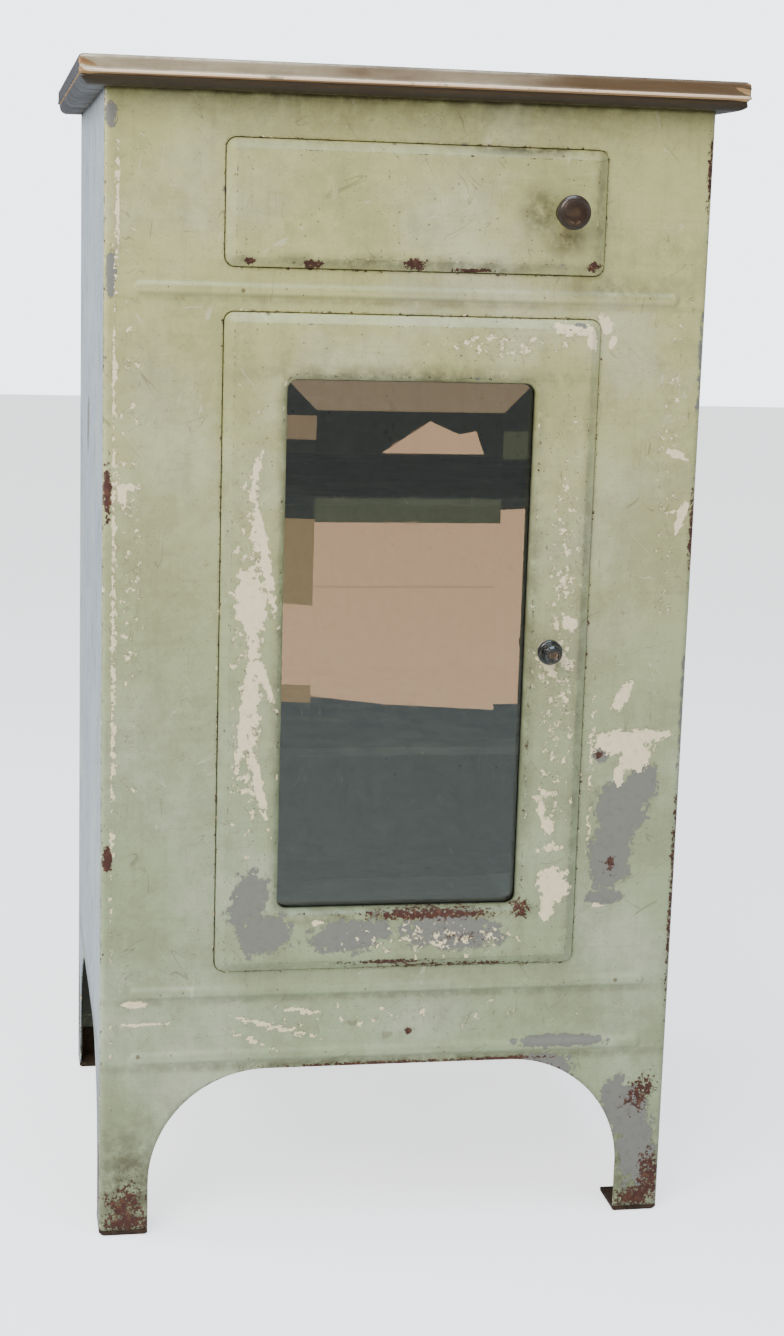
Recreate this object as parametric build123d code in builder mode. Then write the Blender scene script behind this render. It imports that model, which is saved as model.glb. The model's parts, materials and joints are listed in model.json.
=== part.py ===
from build123d import *
from math import sqrt
import os

os.makedirs("parts", exist_ok=True)

# A pressed-steel storage cabinet: one drawer above one glazed door, on arched legs,
# under an overhanging metal-covered top.
# Frame: millimetres, +Z up, +X to the right of someone facing the cabinet, the front
# faces -Y. The origin is on the floor, under the middle of the whole object.

# ---- overall sizes ----
cabinet_width = 457.0
cabinet_depth = 406.0
cabinet_height = 902.0
sheet = 1.2
corner_radius = 5.0
corner_return = 9.0
rear_flange = 14.0

# ---- legs and arches ----
glide_height = 5.0
glide_chamfer = 2.0
leg_width = 38.0
arch_height = 135.5
arch_radius = 92.0
arch_fullness = 0.49
post_leg = 18.0
post_thickness = 2.0
foot_upstand = 23.0
foot_upstand_thickness = 1.5
foot_upstand_bend = 3.0

# ---- top ----
top_thickness = 21.0
top_overhang_side = 20.0
top_overhang_front = 23.0
top_sheet = 1.0
top_edge_radius = 3.0
top_cove = 8.0
top_corner_radius = 4.0
cove_corner_radius = 1.0
rail_leg = 20.0
rail_thickness = 2.0
top_screw_radius = 2.0
top_screw_length = 15.0
top_screw_head_radius = 4.0
top_screw_head_height = 2.5
top_screw_margin = 108.5

# ---- drawer and door fronts ----
front_width = 286.0
front_shift = 2.5
front_proud = 7.0
front_edge_radius = 7.0
front_corner_radius = 7.5
front_gap = 1.0
lip_depth = 10.0
lip_bend = 0.8
drawer_front_bottom = 757.0
drawer_front_height = 92.0
drawer_front_return = 6.0
door_bottom = 217.0
door_height = 507.0

# ---- pressed ribs across the front ----
rib_heights = (147.0, 200.0, 740.0)
rib_end_margin = 21.5
rib_width = 11.0
rib_height = 2.2
rib_round = 1.5

# ---- inside panels ----
floor_drop = 10.8
divider_drop = 9.0
panel_flange = 13.0
post_clearance = 0.5
shelf_heights = (383.0, 583.0)
shelf_names = ("lower", "upper")
shelf_setback = 50.0
shelf_edge = 6.5
shelf_side_clearance = 0.8
shelf_rail_leg = 12.0
shelf_rail_thickness = 1.5

# ---- drawer ----
drawer_sheet = 1.0
drawer_side_margin = 8.0
drawer_edge_margin = 9.0
drawer_travel = 300.0
stop_gap = 0.5
stop_tab_width = 60.0
stop_tab_rise = 6.5
slide_gap = 0.3
slide_side_gap = 1.0
runner_thickness = 1.5
slide_width = 14.0
guide_width = 8.0
runner_tab = 22.0
drawer_stop_height = 10.0

# ---- drawer knob ----
drawer_knob_inset = 31.5
drawer_knob_radius = 12.75
drawer_knob_reach = 25.0
drawer_knob_neck_radius = 6.0
drawer_knob_base_radius = 9.0
drawer_knob_base_height = 3.0
drawer_knob_head_height = 9.0
drawer_knob_dome = 1.6
knob_screw_radius = 2.0
knob_screw_length = 14.0
knob_screw_head_radius = 4.0
knob_screw_head_height = 2.2

# ---- glass and its fixing ----
window_side_margin = 48.0
window_bottom_margin = 48.5
window_top_margin = 48.5
window_corner_radius = 8.0
window_roll = 7.5
glass_lap = 8.0
glass_thickness = 6.0
glass_rim_thickness = 3.5
glass_bevel = 23.0
glass_clearance = 1.0
seal_thickness = 1.0
strip_width = 9.0
strip_thickness = 1.5
strip_screw_radius = 1.25
strip_screw_head_radius = 2.4
strip_screw_head_height = 1.4
strip_screw_offset = 2.8
strip_screw_end_long = 63.0
strip_screw_end_short = 43.0

# ---- door pivots ----
pivot_inset = 22.0
pivot_depth = 4.5
pin_radius = 2.5
pin_clearance = 0.05
pin_lip_clearance = 0.7
pin_hole_reach = 2.4
pin_collar_radius = 4.0
pin_collar_gap = 0.2
pin_end = 1.2
pivot_block_width = 16.0
pivot_block_height = 12.0
pivot_plate_width = 30.0
pivot_plate_depth = 15.0
pivot_plate_thickness = 3.0

# ---- door knob and latch ----
door_knob_inset = 31.5
door_knob_radius = 9.8
door_knob_face_radius = 7.2
door_knob_base_height = 5.0
door_knob_reach = 17.0
door_knob_ring = 1.6
door_knob_ring_inner = 4.0
door_knob_ring_rise = 0.8
collar_radius = 9.2
collar_height = 2.5
collar_barrel_radius = 5.0
collar_chamfer = 0.8
spindle_radius = 3.0
spindle_clearance = 0.05
spindle_head_depth = 9.0
spindle_shoulder_radius = 3.8
door_back_clearance = 0.5
strike_thickness = 1.5
strike_height = 64.0
strike_reach = 5.0
latch_gap = 0.5
tongue_thickness = 3.0
tongue_width = 12.0
tongue_overlap = 3.6
tongue_square = 4.6
tongue_square_clearance = 0.1
tongue_round = 4.0
nut_across_flats = 8.0
nut_thickness = 3.2
spindle_thread_radius = 2.0
spindle_tail = 1.5

# ---- places worked out from the sizes above ----
half_width = cabinet_width / 2
knob_reach_total = front_proud + drawer_knob_reach
front_reach = max(knob_reach_total, top_overhang_front)
front_y = front_reach - (front_reach + cabinet_depth + top_overhang_front) / 2
back_y = front_y + cabinet_depth
middle_y = (front_y + back_y) / 2
body_top = cabinet_height - top_thickness
face_y = front_y - front_proud
inner_front = front_y + sheet
inner_back = back_y - 2 * sheet
inner_half = half_width - sheet
lip_y = front_y + lip_depth
front_right = front_shift + front_width / 2
front_left = front_shift - front_width / 2
rib_length = cabinet_width - 2 * rib_end_margin
floor_height = door_bottom - floor_drop
divider_height = drawer_front_bottom - divider_drop
drawer_width = front_width - 2 * drawer_side_margin
drawer_bottom = drawer_front_bottom + drawer_edge_margin
drawer_side_height = drawer_front_height - 2 * drawer_edge_margin
top_screw_spacing = cabinet_width - 2 * top_screw_margin
opening_width = front_width + 2 * front_gap
opening_corner = front_corner_radius + front_gap
drawer_front_centre = drawer_front_bottom + drawer_front_height / 2
door_centre = door_bottom + door_height / 2
SIDES = (("left", -1), ("right", 1))
ENDS = (("front", -1), ("rear", 1))


def box_between(low, high):
    """Make a plain block from its lowest to its highest corner."""
    size = [high[i] - low[i] for i in range(3)]
    return Pos(*low) * Box(*size, align=(Align.MIN, Align.MIN, Align.MIN))


def disc_along_y(x, z, radius, start, end):
    """Make a round bar along Y between two depths."""
    with BuildPart(mode=Mode.PRIVATE) as bar:
        with BuildSketch(Plane.XZ.offset(-end)):
            with Locations((x, z)):
                Circle(radius)
        extrude(amount=end - start)
    return bar.part


def disc_along_z(x, y, radius, start, end):
    """Make a round bar along Z between two heights."""
    with BuildPart(mode=Mode.PRIVATE) as bar:
        with BuildSketch(Plane.XY.offset(start)):
            with Locations((x, y)):
                Circle(radius)
        extrude(amount=end - start)
    return bar.part


def front_corner_plan(width, depth, radius, front):
    """Draw the plan of a block whose two front corners are rounded."""
    with BuildSketch(mode=Mode.PRIVATE) as plan:
        with Locations((0, front)):
            Rectangle(width, depth, align=(Align.CENTER, Align.MIN))
        fillet(plan.vertices().group_by(Axis.Y)[0], radius)
    return plan.sketch


def side_plan(side):
    """Draw the plan of a side panel: a flat sheet with its rear edge turned inwards."""
    outside = side * half_width
    inside = side * inner_half
    with BuildSketch(mode=Mode.PRIVATE) as plan:
        with Locations((side * (half_width - sheet / 2), front_y + corner_return)):
            Rectangle(sheet, cabinet_depth - corner_return, align=(Align.CENTER, Align.MIN))
        with Locations((side * (half_width - rear_flange / 2), back_y)):
            Rectangle(rear_flange, sheet, align=(Align.CENTER, Align.MAX))
        fillet(plan.vertices().sort_by_distance((outside, back_y, 0))[0], corner_radius)
        fillet(
            plan.vertices().sort_by_distance((inside, back_y - sheet, 0))[0],
            corner_radius - sheet,
        )
    return plan.sketch


def angle_plan(corner_x, corner_y, side, end, leg, thickness, bend):
    """Draw an L-section whose outside corner lies at a cabinet corner, legs inwards."""
    with BuildSketch(mode=Mode.PRIVATE) as plan:
        with Locations((corner_x - side * leg / 2, corner_y - end * leg / 2)):
            Rectangle(leg, leg)
        inner = leg - thickness
        with Locations((corner_x - side * (leg - inner / 2), corner_y - end * (leg - inner / 2))):
            Rectangle(inner, inner, mode=Mode.SUBTRACT)
        fillet(plan.vertices().sort_by_distance((corner_x, corner_y, 0))[0], bend)
    return plan.sketch


def arch_profile(span):
    """Draw the arch opening: straight legs, round shoulders and a flat crown."""
    with BuildSketch(mode=Mode.PRIVATE) as profile:
        Rectangle(span, arch_height, align=(Align.CENTER, Align.MIN))
        fillet(profile.vertices().group_by(Axis.Y)[-1], min(arch_radius, arch_fullness * span))
    return profile.sketch


def pan_block(width, height, bottom, inset, back, window):
    """Fill a pressed pan with its rounded front edges, drawn in by inset.

    window is None, or the width, height and bottom of an opening whose edge rolls inwards.
    """
    radius = front_corner_radius - inset
    with BuildPart(mode=Mode.PRIVATE) as block:
        with BuildSketch(Plane.XZ.offset(-back)):
            with Locations((front_shift, bottom + height / 2)):
                RectangleRounded(width - 2 * inset, height - 2 * inset, radius)
        extrude(amount=back - (face_y + inset))
        fillet(
            block.faces().sort_by(Axis.Y)[0].edges(),
            front_edge_radius - inset,
        )
        if window:
            with BuildSketch(Plane.XZ.offset(-back)):
                with Locations((front_shift, window[2] + window[1] / 2)):
                    RectangleRounded(
                        window[0] + 2 * inset,
                        window[1] + 2 * inset,
                        window_corner_radius + inset,
                    )
            extrude(amount=back - face_y, mode=Mode.SUBTRACT)
            front_face = block.faces().sort_by(Axis.Y)[0]
            fillet(front_face.inner_wires()[0].edges(), window_roll - inset)
    return block.part


def rib_block(height, inset):
    """Fill one raised rib with its rounded outer edge, drawn in by inset."""
    with BuildPart(mode=Mode.PRIVATE) as rib:
        with BuildSketch(Plane.XZ.offset(-(front_y + inset))):
            with Locations((0, height)):
                SlotOverall(rib_length - 2 * inset, rib_width - 2 * inset)
        extrude(amount=rib_height)
        fillet(rib.faces().sort_by(Axis.Y)[0].edges(), rib_round - inset)
    return rib.part


def shelf_block(width, low_y, high_y, top, edge):
    """Fold a sheet into a shallow pan with its edges turned down."""
    middle = (0, (low_y + high_y) / 2, top)
    with BuildPart(mode=Mode.PRIVATE) as pan:
        with Locations(middle):
            Box(width, high_y - low_y, edge, align=(Align.CENTER, Align.CENTER, Align.MAX))
        with Locations((middle[0], middle[1], top - sheet)):
            Box(
                width - 2 * sheet,
                high_y - low_y - 2 * sheet,
                edge - sheet,
                align=(Align.CENTER, Align.CENTER, Align.MAX),
                mode=Mode.SUBTRACT,
            )
    return pan.part


def across_panel(top):
    """Make a horizontal panel with notched corners and its edges turned down."""
    notch = post_leg + post_clearance
    depth = inner_back - inner_front
    with BuildPart(mode=Mode.PRIVATE) as panel:
        with BuildSketch(Plane.XY.offset(top - panel_flange)) as outline:
            with Locations((0, (inner_front + inner_back) / 2)):
                Rectangle(2 * inner_half, depth)
                with GridLocations(2 * inner_half - notch, depth - notch, 2, 2):
                    Rectangle(notch, notch, mode=Mode.SUBTRACT)
        extrude(amount=panel_flange)
        with BuildSketch(Plane.XY.offset(top - panel_flange)):
            add(outline.sketch)
            offset(amount=-sheet, kind=Kind.INTERSECTION, mode=Mode.REPLACE)
        extrude(amount=panel_flange - sheet, mode=Mode.SUBTRACT)
    return panel.part


def top_slab(inset):
    """Fill the top's outline, drawn in by inset: rounded upper edge, sloping cove under it."""
    width = cabinet_width + 2 * top_overhang_side
    depth = cabinet_depth + 2 * top_overhang_front
    slant = inset * (sqrt(2) - 1)
    knee = body_top + top_cove + slant
    foot_inset = top_cove + slant
    with BuildPart(mode=Mode.PRIVATE) as slab:
        with BuildSketch(Plane.XY.offset(knee)):
            with Locations((0, middle_y)):
                RectangleRounded(width - 2 * inset, depth - 2 * inset, top_corner_radius - inset)
        extrude(amount=cabinet_height - inset - knee)
        fillet(slab.faces().sort_by(Axis.Z)[-1].edges(), top_edge_radius - inset)
        with BuildSketch(Plane.XY.offset(knee)):
            with Locations((0, middle_y)):
                RectangleRounded(width - 2 * inset, depth - 2 * inset, top_corner_radius - inset)
        with BuildSketch(Plane.XY.offset(body_top + inset)):
            with Locations((0, middle_y)):
                RectangleRounded(width - 2 * foot_inset, depth - 2 * foot_inset, cove_corner_radius)
        loft()
    return slab.part


# ---- front panel: one pressed sheet with its side edges turned back ----
front_plan_outer = front_corner_plan(cabinet_width, corner_return, corner_radius, front_y)
front_plan_inner = front_corner_plan(
    cabinet_width - 2 * sheet, corner_return, corner_radius - sheet, inner_front
)
arch_span = cabinet_width - 2 * leg_width
front_arch = arch_profile(arch_span)
front_openings = (
    (drawer_front_height + 2 * front_gap, drawer_front_centre),
    (door_height + 2 * front_gap, door_centre),
)

ribs = [rib_block(height, 0) for height in rib_heights]
rib_hollows = [rib_block(height, sheet) for height in rib_heights]

with BuildPart() as front_panel:
    with BuildSketch(Plane.XY.offset(glide_height)):
        add(front_plan_outer)
        add(front_plan_inner, mode=Mode.SUBTRACT)
    extrude(amount=body_top - glide_height)
    with BuildSketch(Plane.XZ.offset(-lip_y)):
        for height, centre in front_openings:
            with Locations((front_shift, centre)):
                RectangleRounded(
                    opening_width + 2 * sheet, height + 2 * sheet, opening_corner + sheet
                )
    extrude(amount=lip_depth)
    with BuildSketch(Plane.XZ.offset(-lip_y)):
        for height, centre in front_openings:
            with Locations((front_shift, centre)):
                RectangleRounded(opening_width, height, opening_corner)
    extrude(amount=lip_depth, mode=Mode.SUBTRACT)
    with BuildSketch(Plane.XZ.offset(-inner_front)):
        add(front_arch)
    extrude(amount=sheet, mode=Mode.SUBTRACT)
    front_face = front_panel.faces().filter_by(Plane.XZ).sort_by(Axis.Y)[0]
    fillet([edge for wire in front_face.inner_wires() for edge in wire.edges()], lip_bend)
    for rib in ribs:
        add(rib)
    for hollow in rib_hollows:
        add(hollow, mode=Mode.SUBTRACT)
    for z in (door_bottom - front_gap, door_bottom + door_height + front_gap):
        add(
            disc_along_z(
                front_left + pivot_inset,
                front_y + pivot_depth,
                pin_radius + pin_lip_clearance,
                z - pin_hole_reach,
                z + pin_hole_reach,
            ),
            mode=Mode.SUBTRACT,
        )
front_panel.part.label = "front_panel"
export_step(front_panel.part, "parts/front_panel.step")

# ---- side panels: flat sheets butted to the front, with rear edges turned in ----
side_arch_span = cabinet_depth - 2 * leg_width
side_arch = arch_profile(side_arch_span)

for name, side in SIDES:
    with BuildPart() as side_panel:
        with BuildSketch(Plane.XY.offset(glide_height)):
            add(side_plan(side))
        extrude(amount=body_top - glide_height)
        with BuildSketch(Plane.YZ.offset(side * half_width)):
            with Locations((middle_y, 0)):
                add(side_arch)
        extrude(amount=-side * sheet, mode=Mode.SUBTRACT)
    side_panel.part.label = f"{name}_side_panel"
    export_step(side_panel.part, f"parts/{name}_side_panel.step")

# ---- back panel: a flat sheet inside the turned-in rear edges of the sides ----
back_width = cabinet_width - 2 * (corner_radius + slide_gap)

with BuildPart() as back_panel:
    with BuildSketch(Plane.XZ.offset(-(back_y - sheet))):
        Rectangle(back_width, body_top, align=(Align.CENTER, Align.MIN))
        Rectangle(back_width, glide_height, align=(Align.CENTER, Align.MIN), mode=Mode.SUBTRACT)
        add(front_arch, mode=Mode.SUBTRACT)
    extrude(amount=sheet)
back_panel.part.label = "back_panel"
export_step(back_panel.part, "parts/back_panel.step")

# ---- corner posts and feet, one set at each corner ----
post_top = body_top - rail_leg

for end_name, end in ENDS:
    inner_end = inner_front if end < 0 else inner_back
    outer_end = front_y if end < 0 else back_y
    for side_name, side in SIDES:
        with BuildPart() as corner_post:
            with BuildSketch(Plane.XY.offset(glide_height)):
                add(
                    angle_plan(
                        side * inner_half, inner_end, side, end, post_leg, post_thickness, corner_radius
                    )
                )
            extrude(amount=post_top - glide_height)
        corner_post.part.label = f"{end_name}_{side_name}_post"
        export_step(corner_post.part, f"parts/{end_name}_{side_name}_post.step")

        with BuildPart() as foot:
            with BuildSketch(Plane.XY) as foot_plan:
                with Locations(
                    (side * (half_width - leg_width / 2), outer_end - end * leg_width / 2)
                ):
                    Rectangle(leg_width, leg_width)
                outside = foot_plan.vertices().sort_by_distance((side * half_width, outer_end, 0))
                fillet(outside[0], corner_radius)
            extrude(amount=glide_height)
            chamfer(foot.faces().sort_by(Axis.Z)[0].edges(), glide_chamfer)
            with BuildSketch(Plane.XY.offset(glide_height)):
                add(
                    angle_plan(
                        side * (inner_half - post_thickness),
                        inner_end - end * post_thickness,
                        side,
                        end,
                        post_leg - post_thickness,
                        foot_upstand_thickness,
                        foot_upstand_bend,
                    )
                )
            extrude(amount=foot_upstand)
        foot.part.label = f"{end_name}_{side_name}_foot"
        export_step(foot.part, f"parts/{end_name}_{side_name}_foot.step")

# ---- horizontal panels: the divider under the drawer and the cupboard floor ----
with BuildPart() as divider_panel:
    add(across_panel(divider_height))
divider_panel.part.label = "divider_panel"
export_step(divider_panel.part, "parts/divider_panel.step")

with BuildPart() as floor_panel:
    add(across_panel(floor_height))
floor_panel.part.label = "floor_panel"
export_step(floor_panel.part, "parts/floor_panel.step")

# ---- shelves and the rails that carry them ----
shelf_front = front_y + shelf_setback
shelf_back = inner_back - post_leg - post_clearance

for name, height in zip(shelf_names, shelf_heights):
    with BuildPart() as shelf:
        add(
            shelf_block(
                2 * (inner_half - shelf_side_clearance), shelf_front, shelf_back, height, shelf_edge
            )
        )
    shelf.part.label = f"{name}_shelf"
    export_step(shelf.part, f"parts/{name}_shelf.step")

    rail_top = height - shelf_edge
    for side_name, side in SIDES:
        with BuildPart() as shelf_rail:
            with BuildSketch(Plane.XZ.offset(-shelf_back)):
                with Locations((side * (inner_half - shelf_rail_leg / 2), rail_top)):
                    Rectangle(
                        shelf_rail_leg, shelf_rail_thickness, align=(Align.CENTER, Align.MAX)
                    )
                with Locations((side * (inner_half - shelf_rail_thickness / 2), rail_top)):
                    Rectangle(
                        shelf_rail_thickness, shelf_rail_leg, align=(Align.CENTER, Align.MAX)
                    )
            extrude(amount=shelf_back - shelf_front)
        shelf_rail.part.label = f"{name}_shelf_rail_{side_name}"
        export_step(shelf_rail.part, f"parts/{name}_shelf_rail_{side_name}.step")

# ---- top rails: angles round the inside of the upper edge ----
rail_underside = body_top - rail_thickness
cover_underside_inset = rail_leg + sheet
screw_rows = (
    [(x, inner_front + rail_leg / 2) for x in (-top_screw_spacing / 2, top_screw_spacing / 2)]
    + [(x, inner_back - rail_leg / 2) for x in (-top_screw_spacing / 2, top_screw_spacing / 2)]
    + [(x, middle_y) for x in (-inner_half + rail_leg / 2, inner_half - rail_leg / 2)]
)
rail_half = inner_half - corner_radius


def screw_holes(low, high, radius):
    """Make the row of upright round bars where the top's screws pass."""
    with BuildPart(mode=Mode.PRIVATE) as bars:
        with BuildSketch(Plane.XY.offset(low)):
            with Locations(*screw_rows):
                Circle(radius)
        extrude(amount=high - low)
    return bars.part


rail_holes = screw_holes(rail_underside, body_top, top_screw_radius)

for end_name, end in ENDS:
    inner_end = inner_front if end < 0 else inner_back
    with BuildPart() as top_rail:
        with BuildSketch(Plane.YZ.offset(-rail_half)):
            with Locations((inner_end - end * rail_leg / 2, body_top)):
                Rectangle(rail_leg, rail_thickness, align=(Align.CENTER, Align.MAX))
            with Locations((inner_end - end * rail_thickness / 2, body_top)):
                Rectangle(rail_thickness, rail_leg, align=(Align.CENTER, Align.MAX))
        extrude(amount=2 * rail_half)
        add(rail_holes, mode=Mode.SUBTRACT)
    top_rail.part.label = f"{end_name}_top_rail"
    export_step(top_rail.part, f"parts/{end_name}_top_rail.step")

for side_name, side in SIDES:
    with BuildPart() as top_rail:
        with BuildSketch(Plane.XZ.offset(-(inner_back - rail_leg))):
            with Locations((side * (inner_half - rail_leg / 2), body_top)):
                Rectangle(rail_leg, rail_thickness, align=(Align.CENTER, Align.MAX))
            with Locations((side * (inner_half - rail_thickness / 2), body_top)):
                Rectangle(rail_thickness, rail_leg, align=(Align.CENTER, Align.MAX))
        extrude(amount=inner_back - inner_front - 2 * rail_leg)
        add(rail_holes, mode=Mode.SUBTRACT)
    top_rail.part.label = f"{side_name}_top_rail"
    export_step(top_rail.part, f"parts/{side_name}_top_rail.step")

# ---- top: a sheet cover folded round a wooden board ----
cover_holes = screw_holes(body_top, body_top + top_sheet, top_screw_radius)
cover_outer = top_slab(0)
cover_inner = top_slab(top_sheet)

with BuildPart() as top_cover:
    add(cover_outer)
    add(cover_inner, mode=Mode.SUBTRACT)
    with BuildSketch(Plane.XY.offset(body_top)):
        with Locations((0, middle_y)):
            Rectangle(
                cabinet_width - 2 * cover_underside_inset, cabinet_depth - 2 * cover_underside_inset
            )
    extrude(amount=top_sheet, mode=Mode.SUBTRACT)
    add(cover_holes, mode=Mode.SUBTRACT)
top_cover.part.label = "top_cover"
export_step(top_cover.part, "parts/top_cover.step")

screw_tip = rail_underside + top_screw_length

with BuildPart() as top_board:
    add(cover_inner)
    add(screw_holes(body_top + top_sheet, screw_tip, top_screw_radius), mode=Mode.SUBTRACT)
top_board.part.label = "top_board"
export_step(top_board.part, "parts/top_board.step")

with BuildPart() as top_screws:
    add(screw_holes(rail_underside, screw_tip, top_screw_radius))
    add(
        screw_holes(
            rail_underside - top_screw_head_height, rail_underside, top_screw_head_radius
        )
    )
top_screws.part.label = "top_screws"
export_step(top_screws.part, "parts/top_screws.step")

# ---- drawer runners: side plates from the front lip to the back panel, each with a slide
# under the drawer and a guide over it, and one stop bar across behind the drawer ----
drawer_top = drawer_bottom + drawer_side_height
drawer_half = drawer_width / 2
drawer_front_wall = face_y + sheet
drawer_back_y = lip_y + drawer_travel + stop_gap + drawer_sheet
channel_web = drawer_half + slide_side_gap
channel_bottom = drawer_bottom - slide_gap - runner_thickness
channel_top = drawer_top + slide_gap + runner_thickness
plate_height = channel_top - channel_bottom - 2 * runner_thickness

for name, side in SIDES:
    plate_x = front_shift + side * (channel_web + runner_thickness / 2)
    outer_x = front_shift + side * (channel_web + runner_thickness)
    tab_x = outer_x + side * (runner_tab / 2 - runner_thickness)
    with BuildPart() as runner:
        with BuildSketch(Plane.XZ.offset(-inner_back)):
            with Locations((plate_x, channel_bottom + runner_thickness)):
                Rectangle(runner_thickness, plate_height, align=(Align.CENTER, Align.MIN))
        extrude(amount=inner_back - lip_y)
        for tab_y in (lip_y + runner_thickness, inner_back):
            with BuildSketch(Plane.XZ.offset(-tab_y)):
                with Locations((tab_x, channel_bottom + runner_thickness)):
                    Rectangle(runner_tab, plate_height, align=(Align.CENTER, Align.MIN))
            extrude(amount=runner_thickness)
    runner.part.label = f"drawer_runner_{name}"
    export_step(runner.part, f"parts/drawer_runner_{name}.step")

    with BuildPart() as slide:
        with BuildSketch(Plane.XZ.offset(-inner_back)):
            with Locations((outer_x - side * slide_width / 2, channel_bottom)):
                Rectangle(slide_width, runner_thickness, align=(Align.CENTER, Align.MIN))
        extrude(amount=inner_back - lip_y)
    slide.part.label = f"drawer_slide_{name}"
    export_step(slide.part, f"parts/drawer_slide_{name}.step")

    with BuildPart() as guide:
        with BuildSketch(Plane.XZ.offset(-inner_back)):
            with Locations((outer_x - side * guide_width / 2, channel_top)):
                Rectangle(guide_width, runner_thickness, align=(Align.CENTER, Align.MAX))
        extrude(amount=inner_back - lip_y)
    guide.part.label = f"drawer_guide_{name}"
    export_step(guide.part, f"parts/drawer_guide_{name}.step")

stop_bar_y = drawer_back_y + stop_gap + runner_thickness

with BuildPart() as drawer_stop:
    with BuildSketch(Plane.XZ.offset(-stop_bar_y)):
        with Locations((front_shift, channel_bottom + runner_thickness)):
            Rectangle(2 * channel_web, drawer_stop_height, align=(Align.CENTER, Align.MIN))
    extrude(amount=runner_thickness)
drawer_stop.part.label = "drawer_stop"
export_step(drawer_stop.part, "parts/drawer_stop.step")

# ---- drawer: pressed front, folded tray and back plate ----
drawer_front_outer = pan_block(
    front_width, drawer_front_height, drawer_front_bottom, 0, front_y + drawer_front_return, None
)
drawer_front_inner = pan_block(
    front_width, drawer_front_height, drawer_front_bottom, sheet, front_y + drawer_front_return, None
)
drawer_knob_x = front_right - drawer_knob_inset
drawer_screw_hole = disc_along_y(
    drawer_knob_x,
    drawer_front_centre,
    knob_screw_radius,
    face_y - front_proud,
    face_y + knob_screw_length,
)

with BuildPart() as drawer_front:
    add(drawer_front_outer)
    add(drawer_front_inner, mode=Mode.SUBTRACT)
    add(drawer_screw_hole, mode=Mode.SUBTRACT)
drawer_front.part.label = "drawer_front"
export_step(drawer_front.part, "parts/drawer_front.step")

tray_outer = box_between(
    (front_shift - drawer_half, drawer_front_wall, drawer_bottom),
    (front_shift + drawer_half, drawer_back_y, drawer_top),
)
tray_inner = box_between(
    (
        front_shift - drawer_half + drawer_sheet,
        drawer_front_wall + drawer_sheet,
        drawer_bottom + drawer_sheet,
    ),
    (front_shift + drawer_half - drawer_sheet, drawer_back_y, drawer_top),
)

with BuildPart() as drawer_tray:
    add(tray_outer)
    add(tray_inner, mode=Mode.SUBTRACT)
    add(drawer_screw_hole, mode=Mode.SUBTRACT)
drawer_tray.part.label = "drawer_tray"
export_step(drawer_tray.part, "parts/drawer_tray.step")

stop_tab_top = drawer_front_bottom + drawer_front_height + front_gap + stop_tab_rise

with BuildPart() as drawer_back:
    with BuildSketch(Plane.XZ.offset(-drawer_back_y)):
        with Locations((front_shift, drawer_bottom + drawer_sheet)):
            Rectangle(
                drawer_width - 2 * drawer_sheet,
                drawer_side_height - drawer_sheet,
                align=(Align.CENTER, Align.MIN),
            )
        with Locations((front_shift, drawer_top)):
            Rectangle(
                stop_tab_width, stop_tab_top - drawer_top, align=(Align.CENTER, Align.MIN)
            )
    extrude(amount=drawer_sheet)
drawer_back.part.label = "drawer_back"
export_step(drawer_back.part, "parts/drawer_back.step")

# ---- drawer knob: a turned mushroom with a domed, ringed head ----
knob_front = face_y - drawer_knob_reach
head_back = knob_front + drawer_knob_head_height
dome_rim = drawer_knob_radius - drawer_knob_dome
dome_sphere = (dome_rim**2 + drawer_knob_dome**2) / (2 * drawer_knob_dome)

with BuildPart() as drawer_knob:
    with BuildSketch(Plane((drawer_knob_x, 0, drawer_front_centre))):
        with BuildLine():
            Polyline(
                (0, face_y),
                (drawer_knob_base_radius, face_y),
                (drawer_knob_base_radius, face_y - drawer_knob_base_height),
                (drawer_knob_neck_radius, face_y - 2 * drawer_knob_base_height),
                (drawer_knob_neck_radius, head_back + drawer_knob_dome),
                (drawer_knob_radius - drawer_knob_dome, head_back),
                (drawer_knob_radius, head_back - drawer_knob_dome),
                (drawer_knob_radius, knob_front + 2 * drawer_knob_dome),
                (dome_rim, knob_front + drawer_knob_dome),
            )
            ThreePointArc(
                (dome_rim, knob_front + drawer_knob_dome),
                (dome_rim / 2, knob_front + dome_sphere - sqrt(dome_sphere**2 - dome_rim**2 / 4)),
                (0, knob_front),
            )
            Line((0, knob_front), (0, face_y))
        make_face()
    revolve(axis=Axis((drawer_knob_x, 0, drawer_front_centre), (0, 1, 0)))
    add(drawer_screw_hole, mode=Mode.SUBTRACT)
drawer_knob.part.label = "drawer_knob"
export_step(drawer_knob.part, "parts/drawer_knob.step")

tray_wall_back = drawer_front_wall + drawer_sheet

with BuildPart() as drawer_knob_screw:
    add(
        disc_along_y(
            drawer_knob_x,
            drawer_front_centre,
            knob_screw_radius,
            face_y - front_proud,
            tray_wall_back,
        )
    )
    add(
        disc_along_y(
            drawer_knob_x,
            drawer_front_centre,
            knob_screw_head_radius,
            tray_wall_back,
            tray_wall_back + knob_screw_head_height,
        )
    )
drawer_knob_screw.part.label = "drawer_knob_screw"
export_step(drawer_knob_screw.part, "parts/drawer_knob_screw.step")

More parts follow.
